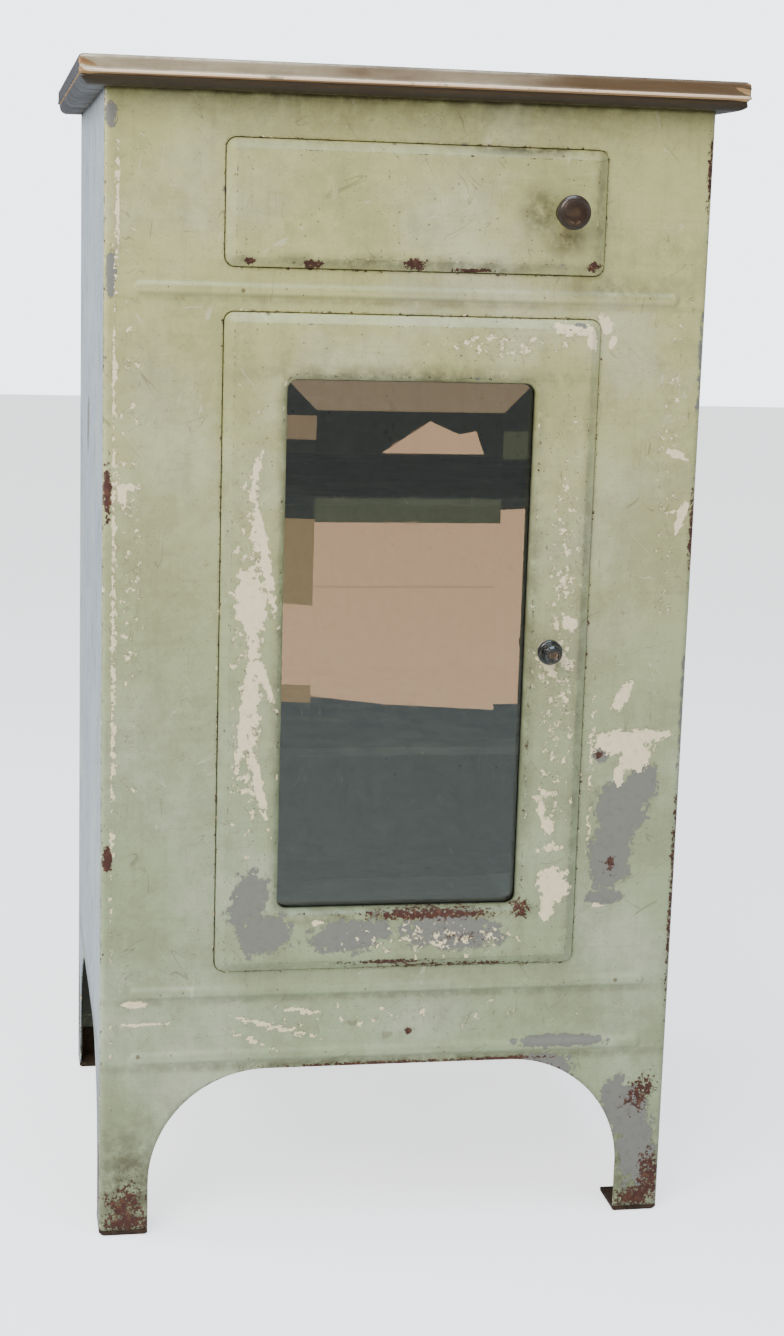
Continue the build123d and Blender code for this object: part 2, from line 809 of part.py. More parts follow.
# ---- door: outer pan with a rolled window edge, flat back frame ----
window_width = front_width - 2 * window_side_margin
window_height = door_height - window_bottom_margin - window_top_margin
window_bottom = door_bottom + window_bottom_margin
window_centre = window_bottom + window_height / 2
door_back_y = lip_y - door_back_clearance
glass_back_y = door_back_y
glass_rim_y = glass_back_y - glass_rim_thickness
glass_front_y = glass_back_y - glass_thickness
roll_back_y = glass_rim_y - seal_thickness
glass_width = window_width + 2 * glass_lap
glass_height = window_height + 2 * glass_lap
frame_width = glass_width + 2 * glass_clearance
frame_height = glass_height + 2 * glass_clearance
door_knob_x = front_right - door_knob_inset
pivot_x = front_left + pivot_inset
pivot_y = front_y + pivot_depth
door_top = door_bottom + door_height

window = (window_width, window_height, window_bottom)
door_skin_back = door_back_y - sheet
door_outer = pan_block(front_width, door_height, door_bottom, 0, door_skin_back, window)
door_inner = pan_block(front_width, door_height, door_bottom, sheet, door_skin_back, window)
barrel_hole = disc_along_y(door_knob_x, door_centre, collar_barrel_radius, face_y, door_skin_back)
spindle_hole = disc_along_y(
    door_knob_x, door_centre, spindle_radius + spindle_clearance, door_skin_back, door_back_y
)
pin_hole = disc_along_z(pivot_x, pivot_y, pin_radius, door_bottom, door_top)

with BuildPart() as door_pan:
    add(door_outer)
    add(door_inner, mode=Mode.SUBTRACT)
    with BuildSketch(Plane.XZ.offset(-door_skin_back)):
        with Locations((front_shift, door_centre)):
            RectangleRounded(
                front_width - 2 * sheet, door_height - 2 * sheet, front_corner_radius - sheet
            )
    extrude(amount=door_skin_back - roll_back_y, mode=Mode.SUBTRACT)
    add(barrel_hole, mode=Mode.SUBTRACT)
    add(pin_hole, mode=Mode.SUBTRACT)
door_pan.part.label = "door_pan"
export_step(door_pan.part, "parts/door_pan.step")

screw_x = glass_width / 2 + strip_screw_offset
screw_z = glass_height / 2 + strip_screw_offset
strip_screw_spread_long = glass_height / 2 - strip_screw_end_long
strip_screw_spread_short = glass_width / 2 - strip_screw_end_short
strip_screw_places = [
    (front_shift + side * screw_x, window_centre + end * strip_screw_spread_long)
    for side in (-1, 1)
    for end in (-1, 1)
] + [
    (front_shift + side * strip_screw_spread_short, window_centre + end * screw_z)
    for side in (-1, 1)
    for end in (-1, 1)
]
strip_back_y = glass_back_y + strip_thickness


def strip_screw_bars(radius, start, end):
    """Make the row of round bars along Y where the glazing strips' screws sit."""
    with BuildPart(mode=Mode.PRIVATE) as bars:
        with BuildSketch(Plane.XZ.offset(-end)):
            with Locations(*strip_screw_places):
                Circle(radius)
        extrude(amount=end - start)
    return bars.part


strip_shanks = strip_screw_bars(strip_screw_radius, door_skin_back, strip_back_y)

with BuildPart() as door_back:
    with BuildSketch(Plane.XZ.offset(-door_back_y)):
        with Locations((front_shift, door_centre)):
            RectangleRounded(front_width, door_height, front_corner_radius)
        with Locations((front_shift, window_centre)):
            Rectangle(frame_width, frame_height, mode=Mode.SUBTRACT)
    extrude(amount=sheet)
    add(spindle_hole, mode=Mode.SUBTRACT)
    add(strip_shanks, mode=Mode.SUBTRACT)
door_back.part.label = "door_back"
export_step(door_back.part, "parts/door_back.step")

# ---- door glass: plate with a wide bevel, its seal and its fixing strips ----
with BuildPart() as door_glass:
    with BuildSketch(Plane.XZ.offset(-glass_back_y)):
        with Locations((front_shift, window_centre)):
            Rectangle(glass_width, glass_height)
    extrude(amount=glass_rim_thickness)
    with BuildSketch(Plane.XZ.offset(-glass_rim_y)):
        with Locations((front_shift, window_centre)):
            Rectangle(window_width, window_height)
    with BuildSketch(Plane.XZ.offset(-glass_front_y)):
        with Locations((front_shift, window_centre)):
            Rectangle(window_width - 2 * glass_bevel, window_height - 2 * glass_bevel)
    loft()
door_glass.part.label = "door_glass"
export_step(door_glass.part, "parts/door_glass.step")

with BuildPart() as glass_seal:
    with BuildSketch(Plane.XZ.offset(-glass_rim_y)):
        with Locations((front_shift, window_centre)):
            Rectangle(glass_width, glass_height)
            Rectangle(window_width, window_height, mode=Mode.SUBTRACT)
    extrude(amount=seal_thickness)
glass_seal.part.label = "glass_seal"
export_step(glass_seal.part, "parts/glass_seal.step")

for name, side in SIDES:
    with BuildPart() as strip:
        with BuildSketch(Plane.XZ.offset(-strip_back_y)):
            with Locations((front_shift + side * glass_width / 2, window_centre)):
                Rectangle(strip_width, glass_height - strip_width)
        extrude(amount=strip_thickness)
        add(strip_shanks, mode=Mode.SUBTRACT)
    strip.part.label = f"glazing_strip_{name}"
    export_step(strip.part, f"parts/glazing_strip_{name}.step")

for name, end in (("bottom", -1), ("top", 1)):
    with BuildPart() as strip:
        with BuildSketch(Plane.XZ.offset(-strip_back_y)):
            with Locations((front_shift, window_centre + end * glass_height / 2)):
                Rectangle(glass_width + strip_width, strip_width)
        extrude(amount=strip_thickness)
        add(strip_shanks, mode=Mode.SUBTRACT)
    strip.part.label = f"glazing_strip_{name}"
    export_step(strip.part, f"parts/glazing_strip_{name}.step")

with BuildPart() as strip_screws:
    add(strip_shanks)
    add(
        strip_screw_bars(
            strip_screw_head_radius, strip_back_y, strip_back_y + strip_screw_head_height
        )
    )
strip_screws.part.label = "glazing_screws"
export_step(strip_screws.part, "parts/glazing_screws.step")

# ---- door pivots: a block and pin in the door, a bored plate on the cabinet ----
for name, end, door_edge in (("lower", -1, door_bottom), ("upper", 1, door_top)):
    block_outer = door_edge - end * sheet
    block_inner = block_outer - end * pivot_block_height
    lip_outer = door_edge + end * (front_gap + sheet)
    plate_outer = lip_outer + end * pivot_plate_thickness
    pin_tip = plate_outer + end * pin_end
    pin_low = min(block_inner, pin_tip)
    pin_high = max(block_inner, pin_tip)
    pin_bore = disc_along_z(pivot_x, pivot_y, pin_radius, pin_low, pin_high)

    block_low = (pivot_x - pivot_block_width / 2, front_y, min(block_outer, block_inner))
    block_high = (pivot_x + pivot_block_width / 2, door_skin_back, max(block_outer, block_inner))
    pivot_block_solid = box_between(block_low, block_high)
    with BuildPart() as pivot_block:
        add(pivot_block_solid)
        add(pin_bore, mode=Mode.SUBTRACT)
    pivot_block.part.label = f"{name}_pivot_block"
    export_step(pivot_block.part, f"parts/{name}_pivot_block.step")

    with BuildPart() as pivot_pin:
        add(pin_bore)
        if end < 0:
            add(
                disc_along_z(
                    pivot_x,
                    pivot_y,
                    pin_collar_radius,
                    door_bottom - front_gap + pin_collar_gap,
                    door_bottom,
                )
            )
    pivot_pin.part.label = f"{name}_pivot_pin"
    export_step(pivot_pin.part, f"parts/{name}_pivot_pin.step")

    plate_low = (pivot_x - pivot_plate_width / 2, inner_front, min(lip_outer, plate_outer))
    plate_high = (
        pivot_x + pivot_plate_width / 2,
        inner_front + pivot_plate_depth,
        max(lip_outer, plate_outer),
    )
    pivot_plate_solid = box_between(plate_low, plate_high)
    pivot_plate_bore = disc_along_z(
        pivot_x, pivot_y, pin_radius + pin_clearance, plate_low[2], plate_high[2]
    )
    with BuildPart() as pivot_plate:
        add(pivot_plate_solid)
        add(pivot_plate_bore, mode=Mode.SUBTRACT)
    pivot_plate.part.label = f"{name}_pivot_plate"
    export_step(pivot_plate.part, f"parts/{name}_pivot_plate.step")

# ---- latch: collar in the door, knob, spindle, tongue and nut, strike on the cabinet ----
strike_x = front_right + front_gap + sheet
strike_back = lip_y + strike_thickness
strike_face = box_between(
    (front_right + front_gap - strike_reach, lip_y, door_centre - strike_height / 2),
    (strike_x + strike_thickness, strike_back, door_centre + strike_height / 2),
)
strike_leg = box_between(
    (strike_x, inner_front, door_centre - strike_height / 2),
    (strike_x + strike_thickness, lip_y, door_centre + strike_height / 2),
)

with BuildPart() as strike_plate:
    add(strike_face)
    add(strike_leg)
strike_plate.part.label = "strike_plate"
export_step(strike_plate.part, "parts/strike_plate.step")

collar_front = face_y - collar_height
spindle_bore = disc_along_y(
    door_knob_x, door_centre, spindle_radius + spindle_clearance, collar_front, door_skin_back
)
collar_flange = disc_along_y(door_knob_x, door_centre, collar_radius, collar_front, face_y)
collar_barrel = disc_along_y(
    door_knob_x, door_centre, collar_barrel_radius, face_y, door_skin_back
)

with BuildPart() as knob_collar:
    add(collar_flange)
    chamfer(knob_collar.edges().filter_by(GeomType.CIRCLE).sort_by(Axis.Y)[0], collar_chamfer)
    add(collar_barrel)
    add(spindle_bore, mode=Mode.SUBTRACT)
knob_collar.part.label = "knob_collar"
export_step(knob_collar.part, "parts/knob_collar.step")

tongue_front = strike_back + latch_gap
tongue_back = tongue_front + tongue_thickness
nut_back = tongue_back + nut_thickness
door_knob_front = face_y - door_knob_reach
knob_back = collar_front - slide_gap
spindle_front = knob_back - spindle_head_depth
knob_step = knob_back - door_knob_base_height

with BuildPart() as latch_spindle:
    add(disc_along_y(door_knob_x, door_centre, spindle_radius, spindle_front, tongue_front))
    add(
        disc_along_y(
            door_knob_x,
            door_centre,
            spindle_shoulder_radius,
            door_back_y + slide_gap,
            tongue_front,
        )
    )
    with BuildSketch(Plane.XZ.offset(-tongue_back)):
        with Locations((door_knob_x, door_centre)):
            Rectangle(tongue_square, tongue_square)
    extrude(amount=tongue_thickness)
    add(
        disc_along_y(
            door_knob_x, door_centre, spindle_thread_radius, tongue_back, nut_back + spindle_tail
        )
    )
latch_spindle.part.label = "latch_spindle"
export_step(latch_spindle.part, "parts/latch_spindle.step")

tongue_reach = strike_x - door_knob_x - tongue_overlap + front_gap
square_hole = tongue_square + tongue_square_clearance

with BuildPart() as latch_tongue:
    with BuildSketch(Plane.XZ.offset(-tongue_back)):
        with Locations((door_knob_x, door_centre)):
            Circle(tongue_width / 2)
            Rectangle(tongue_width, tongue_reach, align=(Align.CENTER, Align.MIN))
            Rectangle(square_hole, square_hole, mode=Mode.SUBTRACT)
    extrude(amount=tongue_thickness)
    fillet(
        latch_tongue.edges().filter_by(Axis.Y).group_by(Axis.Z)[-1],
        tongue_round,
    )
latch_tongue.part.label = "latch_tongue"
export_step(latch_tongue.part, "parts/latch_tongue.step")

with BuildPart() as latch_nut:
    with BuildSketch(Plane.XZ.offset(-nut_back)):
        with Locations((door_knob_x, door_centre)):
            RegularPolygon(nut_across_flats / 2, 6, major_radius=False)
            Circle(spindle_thread_radius, mode=Mode.SUBTRACT)
    extrude(amount=nut_thickness)
latch_nut.part.label = "latch_nut"
export_step(latch_nut.part, "parts/latch_nut.step")

knob_bore = disc_along_y(door_knob_x, door_centre, spindle_radius, spindle_front, knob_back)

with BuildPart() as door_knob:
    with BuildSketch(Plane((door_knob_x, 0, door_centre))):
        with BuildLine():
            Polyline(
                (0, door_knob_front),
                (door_knob_ring_inner, door_knob_front),
                (door_knob_ring_inner + door_knob_ring / 2, door_knob_front - door_knob_ring_rise),
                (door_knob_ring_inner + door_knob_ring, door_knob_front),
                (door_knob_face_radius, door_knob_front + door_knob_ring),
                (door_knob_face_radius, knob_step),
                (door_knob_radius - door_knob_ring, knob_step),
                (door_knob_radius, knob_step + door_knob_ring),
                (door_knob_radius, knob_back),
                (0, knob_back),
                (0, door_knob_front),
            )
        make_face()
    revolve(axis=Axis((door_knob_x, 0, door_centre), (0, 1, 0)))
    add(knob_bore, mode=Mode.SUBTRACT)
door_knob.part.label = "door_knob"
export_step(door_knob.part, "parts/door_knob.step")
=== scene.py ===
"""Vintage pressed-steel cabinet: one drawer above one bevelled-glass door, on arched legs.

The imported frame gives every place. The painted pressings, the folded metal top and the turned
knobs are surfaces worked out on grids of points; the other pieces keep their own shapes and
get their finishes here.
"""
import json
import logging
import math
from dataclasses import dataclass
from enum import Enum

import bmesh
import bpy
import numpy as np
from mathutils import Matrix, Vector


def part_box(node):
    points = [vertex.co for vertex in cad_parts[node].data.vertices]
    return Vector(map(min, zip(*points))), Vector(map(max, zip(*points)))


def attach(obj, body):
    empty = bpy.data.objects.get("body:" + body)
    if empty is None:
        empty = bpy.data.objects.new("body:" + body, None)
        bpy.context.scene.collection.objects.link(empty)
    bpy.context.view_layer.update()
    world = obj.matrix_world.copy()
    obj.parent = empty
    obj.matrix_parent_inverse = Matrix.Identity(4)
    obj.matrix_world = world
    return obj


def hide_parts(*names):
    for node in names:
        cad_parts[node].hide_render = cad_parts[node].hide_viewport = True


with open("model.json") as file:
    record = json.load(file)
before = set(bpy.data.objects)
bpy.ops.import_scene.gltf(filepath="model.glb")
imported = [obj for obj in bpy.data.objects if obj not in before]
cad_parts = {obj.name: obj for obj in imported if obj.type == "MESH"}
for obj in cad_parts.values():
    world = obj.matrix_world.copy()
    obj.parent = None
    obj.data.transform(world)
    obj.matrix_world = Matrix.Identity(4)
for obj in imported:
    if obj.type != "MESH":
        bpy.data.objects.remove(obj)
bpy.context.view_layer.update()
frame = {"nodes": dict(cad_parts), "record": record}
LOG = logging.getLogger("cabinet")
MM = 0.001

Colour = tuple[float, float, float]
Material, Node, NodeTree = bpy.types.Material, bpy.types.Node, bpy.types.NodeTree
Object, Socket = bpy.types.Object, bpy.types.NodeSocket


class Wear(Enum):
    """The kinds of damage that a painted face carries, with each one's colour channel; the last kind marks dirt
    and painted shade together.
    """

    PRIMER = 0
    UNDERCOAT = 1
    RUST = 2
    GRIME_AND_SHADE = 3


@dataclass(frozen=True)
class Spot:
    """One patch of damage, or of painted shade, on an upright face.

    across and up are its centre in metres, half_across and half_up its half sizes, turn its
    slope in degrees, and amount how strongly it shows.
    """

    kind: Wear
    across: float
    up: float
    half_across: float
    half_up: float
    turn: float = 0.0
    amount: float = 1.0


# The last kind marks dirt and painted shade together.
P, U, R, GS = Wear.PRIMER, Wear.UNDERCOAT, Wear.RUST, Wear.GRIME_AND_SHADE


def spots(*rows: tuple) -> list[Spot]:
    """Make spots from rows: kind, centre and half sizes in millimetres, then slope and amount."""
    return [Spot(kind, *(size * MM for size in rest[:4]), *rest[4:]) for kind, *rest in rows]


@dataclass(frozen=True)
class RoundedBox:
    """A rectangle with rounded corners on an upright or level plane, in metres."""

    low: tuple[float, float]
    high: tuple[float, float]
    radius: float

    def grown(self, amount: float) -> "RoundedBox":
        """Return the rectangle grown outwards by amount, or drawn in if it is negative."""
        return RoundedBox(
            (self.low[0] - amount, self.low[1] - amount),
            (self.high[0] + amount, self.high[1] + amount),
            max(self.radius + amount, 0.2 * MM),
        )

    def distance(self, across: np.ndarray, up: np.ndarray) -> np.ndarray:
        """Measure how far points lie outside the outline; inside is negative.

        Args:
            across: First coordinates.
            up: Second coordinates.

        Returns:
            Signed distances in metres.
        """
        half = (np.array(self.high) - np.array(self.low)) / 2 - self.radius
        middle = (np.array(self.high) + np.array(self.low)) / 2
        off_x = np.abs(across - middle[0]) - half[0]
        off_z = np.abs(up - middle[1]) - half[1]
        outside = np.hypot(np.maximum(off_x, 0), np.maximum(off_z, 0))
        return outside + np.minimum(np.maximum(off_x, off_z), 0) - self.radius

    def loop(self, along_x: int, along_z: int, per_corner: int) -> np.ndarray:
        """Walk anticlockwise round the outline: each side in even steps, each corner an arc.

        Args:
            along_x: Steps along each level side.
            along_z: Steps along each upright side.
            per_corner: Steps round each corner.

        Returns:
            An array of points, two numbers each.
        """
        (x0, z0), (x1, z1), r = self.low, self.high, self.radius
        corners = ((x1 - r, z0 + r, -90), (x1 - r, z1 - r, 0), (x0 + r, z1 - r, 90), (x0 + r, z0 + r, 180))
        sides = (
            ((x0 + r, z0), (x1 - r, z0), along_x),
            ((x1, z0 + r), (x1, z1 - r), along_z),
            ((x1 - r, z1), (x0 + r, z1), along_x),
            ((x0, z1 - r), (x0, z0 + r), along_z),
        )
        parts = []
        for (start, end, steps), (cx, cz, angle) in zip(sides, corners):
            parts.append(np.linspace(start, end, steps, endpoint=False))
            turn = np.radians(np.linspace(angle, angle + 90, per_corner, endpoint=False))
            parts.append(np.stack([cx + r * np.cos(turn), cz + r * np.sin(turn)], axis=1))
        return np.concatenate(parts)


# ---------------------------------------------------------------- shapes of sheet metal


@dataclass
class Patch:
    """One grid of points on a surface, rows by columns by three, closed round each row or not."""

    points: np.ndarray
    around: bool = False
    keep: np.ndarray | None = None

    def faces(self) -> np.ndarray:
        """Return the grid's four-sided faces as point numbers, leaving out those not kept."""
        rows, columns = self.points.shape[:2]
        last = columns if self.around else columns - 1
        row, column = np.meshgrid(np.arange(rows - 1), np.arange(last), indexing="ij")
        here = row * columns + column
        there = row * columns + (column + 1) % columns
        quads = np.stack([here, there, there + columns, here + columns], axis=-1)
        if self.keep is not None:
            return quads[self.keep]
        return quads.reshape(-1, 4)


def joined_mesh(name: str, patches: list[Patch], outward: Vector) -> Object:
    """Weld patches into one surface whose faces look outwards.

    Args:
        name: The piece's name.
        patches: The grids that make it up; their shared edges have the same points.
        outward: The way that most of the surface faces.

    Returns:
        The new object.
    """
    points, faces, start = [], [], 0
    for patch in patches:
        flat = patch.points.reshape(-1, 3)
        points.append(flat)
        faces.append(patch.faces() + start)
        start += len(flat)
    corners = np.concatenate(faces)
    used, numbers = np.unique(corners, return_inverse=True)
    mesh = bpy.data.meshes.new(name)
    mesh.from_pydata(np.concatenate(points)[used].tolist(), [], numbers.reshape(-1, 4).tolist())
    shape = bmesh.new()
    shape.from_mesh(mesh)
    bmesh.ops.remove_doubles(shape, verts=shape.verts, dist=0.02 * MM)
    bmesh.ops.dissolve_degenerate(shape, dist=0.01 * MM, edges=shape.edges)
    bmesh.ops.recalc_face_normals(shape, faces=shape.faces)
    facing = sum((f.normal * f.calc_area() for f in shape.faces), Vector()).dot(outward)
    if facing < 0:
        bmesh.ops.reverse_faces(shape, faces=shape.faces)
    shape.to_mesh(mesh)
    shape.free()
    mesh.polygons.foreach_set("use_smooth", [True] * len(mesh.polygons))
    made = bpy.data.objects.new(name, mesh)
    bpy.context.scene.collection.objects.link(made)
    return made


def read_points(made: Object) -> np.ndarray:
    """Return a mesh's points as an array, three numbers each."""
    flat = np.empty(len(made.data.vertices) * 3, np.float32)
    made.data.vertices.foreach_get("co", flat)
    return flat.reshape(-1, 3).astype(float)


def write_points(made: Object, points: np.ndarray) -> None:
    """Put an array of points back into a mesh."""
    made.data.vertices.foreach_set("co", points.astype(np.float32).ravel())
    made.data.update()


def write_numbers(made: Object, name: str, values: np.ndarray) -> None:
    """Store one number for each point under a name that the finishes read."""
    layer = made.data.attributes.new(name, "FLOAT", "POINT")
    layer.data.foreach_set("value", values.astype(np.float32))


def write_wear(made: Object, across: np.ndarray, up: np.ndarray, spots: list[Spot]) -> None:
    """Store how strongly each kind of damage, and the painted shade, shows at each point.

    Each spot is a sloping ellipse that is full at its middle, half at its outline and gone at
    two thirds beyond it; where spots of a kind meet, the stronger one counts.

    Args:
        made: The piece.
        across: Each point's place across the face.
        up: Each point's height.
        spots: The patches of damage.
    """
    shown = np.zeros((len(across), 4))
    for spot in spots:
        angle = math.radians(spot.turn)
        dx, dz = across - spot.across, up - spot.up
        along = (dx * math.cos(angle) + dz * math.sin(angle)) / spot.half_across
        beside = (dz * math.cos(angle) - dx * math.sin(angle)) / spot.half_up
        strength = np.clip(1.25 - 0.75 * np.hypot(along, beside), 0, 1) * spot.amount
        shown[:, spot.kind.value] = np.maximum(shown[:, spot.kind.value], strength)
    layer = made.data.attributes.new("wear_and_highlight", "FLOAT_COLOR", "POINT")
    colours = np.ones((len(across), 4), np.float32)
    colours[:, :3] = shown[:, :3]
    layer.data.foreach_set("color", colours.ravel())
    write_numbers(made, "grime_shade_and_ends", shown[:, Wear.GRIME_AND_SHADE.value])


def ripple(across: np.ndarray, up: np.ndarray, height: float) -> np.ndarray:
    """Work out the slow unevenness of hand-worked sheet: a few long crossing waves.

    Args:
        across: Each point's place across the sheet.
        up: Each point's height.
        height: The waves' greatest height in metres.

    Returns:
        How far each point lies in from the flat.
    """
    waves = (
        np.sin(19 * across + 7 * up + 1.3)
        + 0.7 * np.sin(31 * up - 11 * across + 0.4)
        + 0.5 * np.sin(53 * across + 2.1) * np.sin(23 * up)
    )
    return height * (waves / 2.2 + 1) / 2


def thicken(made: Object, thickness: float) -> None:
    """Give a surface the sheet's thickness, inwards from its outer face."""
    solid = made.modifiers.new("sheet", "SOLIDIFY")
    solid.thickness = thickness
    solid.offset = -1
    solid.use_even_offset = True


def hand_over(made: Object, finish: Material, node: str, body: str) -> Object:
    """Give a new piece its finish, hide the CAD node that it replaces, and let it ride on its body.

    Args:
        made: The new piece.
        finish: Its material.
        node: The CAD node that it replaces.
        body: The body that it moves with.

    Returns:
        The piece.
    """
    made.data.materials.append(finish)
    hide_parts(node)
    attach(made, body)
    return made


def steps(*stretches: tuple[float, float, float]) -> np.ndarray:
    """Lay out places along a line, each stretch in even steps near its own size.

    Args:
        stretches: Each one's start, end and wanted step; each starts where the last ended.

    Returns:
        The places in order, with no place twice.
    """
    places = [np.array([stretches[0][0]])]
    for start, end, step in stretches:
        count = max(1, math.ceil((end - start) / step))
        places.append(np.linspace(start, end, count + 1)[1:])
    return np.concatenate(places)


@dataclass(frozen=True)
class Arch:
    """The opening between two legs: straight legs, round shoulders and a flat crown."""

    centre: float
    half_span: float
    height: float
    radius: float
    foot: float
    line: float

    def outline(self) -> RoundedBox:
        """Return the opening as a rounded rectangle that runs on below the floor."""
        return RoundedBox((self.centre - self.half_span, -1.0), (self.centre + self.half_span, self.height),
                          self.radius)

    def ring(self, low: float, high: float, across: np.ndarray, rows: int) -> tuple[np.ndarray, np.ndarray]:
        """Spread a grid between the sheet's edge and the opening's.

        The outer path goes up one leg, over at the line and down the other leg. Each of its
        points is paired with one on the opening: level stretches straight down, the corners
        with the shoulders, half of each shoulder's arc on each side of its corner.

        Args:
            low: The sheet's low edge across.
            high: The sheet's high edge across.
            across: The places along the line, from low to high.
            rows: How many rows of points.

        Returns:
            The grid's points, two numbers each, and the heights up a leg.
        """
        shoulder = self.height - self.radius
        flat = self.half_span - self.radius
        heights = steps((self.foot, self.line, 3 * MM))[:-1]
        outer = np.concatenate([
            np.stack([np.full_like(heights, low), heights], axis=1),
            np.stack([across, np.full_like(across, self.line)], axis=1),
            np.stack([np.full_like(heights, high), heights[::-1]], axis=1),
        ])
        off = outer[:, 0] - self.centre
        side = np.sign(off)
        edge = np.where(side < 0, self.centre - low, high - self.centre)
        on_line = np.isclose(outer[:, 1], self.line)
        corner = math.pi / 4
        share = np.clip((np.abs(off) - flat) / (edge - flat), 0, 1)
        fall = np.clip((self.line - outer[:, 1]) / (self.line - shoulder), 0, 1)
        angle = np.where(on_line, 2 * corner - corner * share, corner - corner * fall)
        arc_x = self.centre + side * (flat + self.radius * np.cos(angle))
        arc_z = shoulder + self.radius * np.sin(angle)
        level = on_line & (np.abs(off) <= flat)
        low_leg = outer[:, 1] < shoulder
        inner_x = np.where(level, outer[:, 0], np.where(low_leg, self.centre + side * self.half_span, arc_x))
        inner_z = np.where(level, self.height, np.where(low_leg, outer[:, 1], arc_z))
        inner = np.stack([inner_x, inner_z], axis=1)
        share_down = np.linspace(0, 1, rows)[:, None, None]
        return outer + (inner - outer) * share_down, heights


# ---------------------------------------------------------------- node wiring


class Wiring:
    """A node tree being wired, with short ways to add and join nodes."""

    def __init__(self, tree: NodeTree) -> None:
        """Keep the tree that nodes are added to."""
        self.tree = tree

    def node(self, kind: str, inputs: dict | None = None, **settings) -> Node:
        """Add a node, set its options and feed its sockets.

        Args:
            kind: The node's type name.
            inputs: Socket name or number to a value or another node's output.
            settings: The node's own options.

        Returns:
            The new node.
        """
        made = self.tree.nodes.new(kind)
        for name, value in settings.items():
            setattr(made, name, value)
        for name, value in (inputs or {}).items():
            self.feed(made.inputs[name], value)
        return made

    def feed(self, socket: Socket, value: object) -> None:
        """Join an output to a socket, or set the socket's own value."""
        if isinstance(value, Socket):
            self.tree.links.new(value, socket)
        elif socket.type == "RGBA":
            socket.default_value = (*value, 1.0)
        else:
            socket.default_value = value

    def maths(self, operation: str, first: object, second: object = 0.0) -> Socket:
        """Combine two numbers and return the result's socket."""
        return self.node("ShaderNodeMath", {0: first, 1: second}, operation=operation).outputs[0]

    def times(self, first: object, second: object) -> Socket:
        """Multiply two numbers."""
        return self.maths("MULTIPLY", first, second)

    def plus(self, first: object, second: object) -> Socket:
        """Add two numbers."""
        return self.maths("ADD", first, second)

    def minus(self, first: object, second: object) -> Socket:
        """Take the second number from the first."""
        return self.maths("SUBTRACT", first, second)

    def shifted(self, vector: object, by: object) -> Socket:
        """Move coordinates by a vector."""
        return self.node("ShaderNodeVectorMath", {0: vector, 1: by}, operation="ADD").outputs[0]

    def scaled(self, vector: object, scale: object) -> Socket:
        """Multiply coordinates by one number."""
        return self.node("ShaderNodeVectorMath", {0: vector, 3: scale}, operation="SCALE").outputs[0]

    def blend(self, share: object, first: object, second: object) -> Socket:
        """Blend two colours and return the result's socket."""
        made = self.node("ShaderNodeMix", {0: share, 6: first, 7: second}, data_type="RGBA")
        return made.outputs[2]

    def ramp(self, value: object, low: float, high: float) -> Socket:
        """Turn a number into a mask that rises smoothly from 0 at low to 1 at high."""
        made = self.node(
            "ShaderNodeMapRange", {"Value": value, "From Min": low, "From Max": high},
            interpolation_type="SMOOTHSTEP",
        )
        return made.outputs[0]

    def place(self) -> Socket:
        """Return the socket of the surface's own coordinates in metres."""
        return self.node("ShaderNodeTexCoord").outputs["Object"]

    def stored(self, name: str, output: str) -> Socket:
        """Return a value that the mesh stores at its points."""
        return self.node("ShaderNodeAttribute", attribute_name=name).outputs[output]

    def stretch(self, vector: object, scale: tuple[float, float, float]) -> Socket:
        """Return coordinates multiplied along each axis."""
        return self.node("ShaderNodeMapping", {"Vector": vector, "Scale": scale}).outputs[0]

    def noise(self, vector: object, scale: float, detail: float = 4.0, rough: float = 0.55) -> Socket:
        """Return a fractal noise value about a half."""
        made = self.node(
            "ShaderNodeTexNoise", {"Vector": vector, "Scale": scale, "Detail": detail, "Roughness": rough}
        )
        return made.outputs["Fac"]


def start_group(name: str, numbers: tuple[str, ...], results: tuple[str, ...]) -> tuple[Wiring, dict, Node]:
    """Begin a shared node group that takes coordinates and numbers and gives masks.

    Args:
        name: The group's name.
        numbers: Names of its number inputs.
        results: Names of its outputs.

    Returns:
        The wiring, the input sockets by name and the output node.
    """
    tree = bpy.data.node_groups.new(name, "ShaderNodeTree")
    tree.interface.new_socket("Vector", in_out="INPUT", socket_type="NodeSocketVector")
    for number in numbers:
        tree.interface.new_socket(number, in_out="INPUT", socket_type="NodeSocketFloat")
    for result in results:
        tree.interface.new_socket(result, in_out="OUTPUT", socket_type="NodeSocketFloat")
    wiring = Wiring(tree)
    taken = wiring.node("NodeGroupInput").outputs
    return wiring, {"Vector": taken["Vector"], **{n: taken[n] for n in numbers}}, wiring.node("NodeGroupOutput")


def flakes_group() -> NodeTree:
    """Make the group for flaked paint: crisp ragged patches wherever Amount passes about a half, and a thin
    ring round each one for a painted shadow along the chip's edge.
    """
    w, given, out = start_group("paint flakes", ("Amount", "Scale"), ("Mask", "Rim shadow"))
    scaled = w.scaled(given["Vector"], given["Scale"])
    bend = w.node("ShaderNodeTexNoise", {"Vector": scaled, "Scale": 2.4, "Detail": 3.0}).outputs["Color"]
    bent = w.shifted(scaled, bend)
    cells = w.node("ShaderNodeTexVoronoi", {"Vector": bent, "Scale": 2.2}, distance="CHEBYCHEV")
    by_cell = w.times(w.minus(w.noise(cells.outputs["Position"], 1.1, 3.0, 0.6), 0.5), 1.15)
    coarse = w.times(w.minus(w.noise(scaled, 0.8, 6.0, 0.7), 0.5), 0.75)
    flaked = w.plus(given["Amount"], w.plus(by_cell, coarse))
    w.feed(out.inputs["Mask"], w.ramp(flaked, 0.505, 0.53))
    # A thin ring just outside each flake, used for a painted shadow along the chip's edge.
    rising = w.ramp(flaked, 0.43, 0.5)
    falling = w.ramp(flaked, 0.55, 0.62)
    w.feed(out.inputs["Rim shadow"], w.minus(rising, falling))
    return w.tree


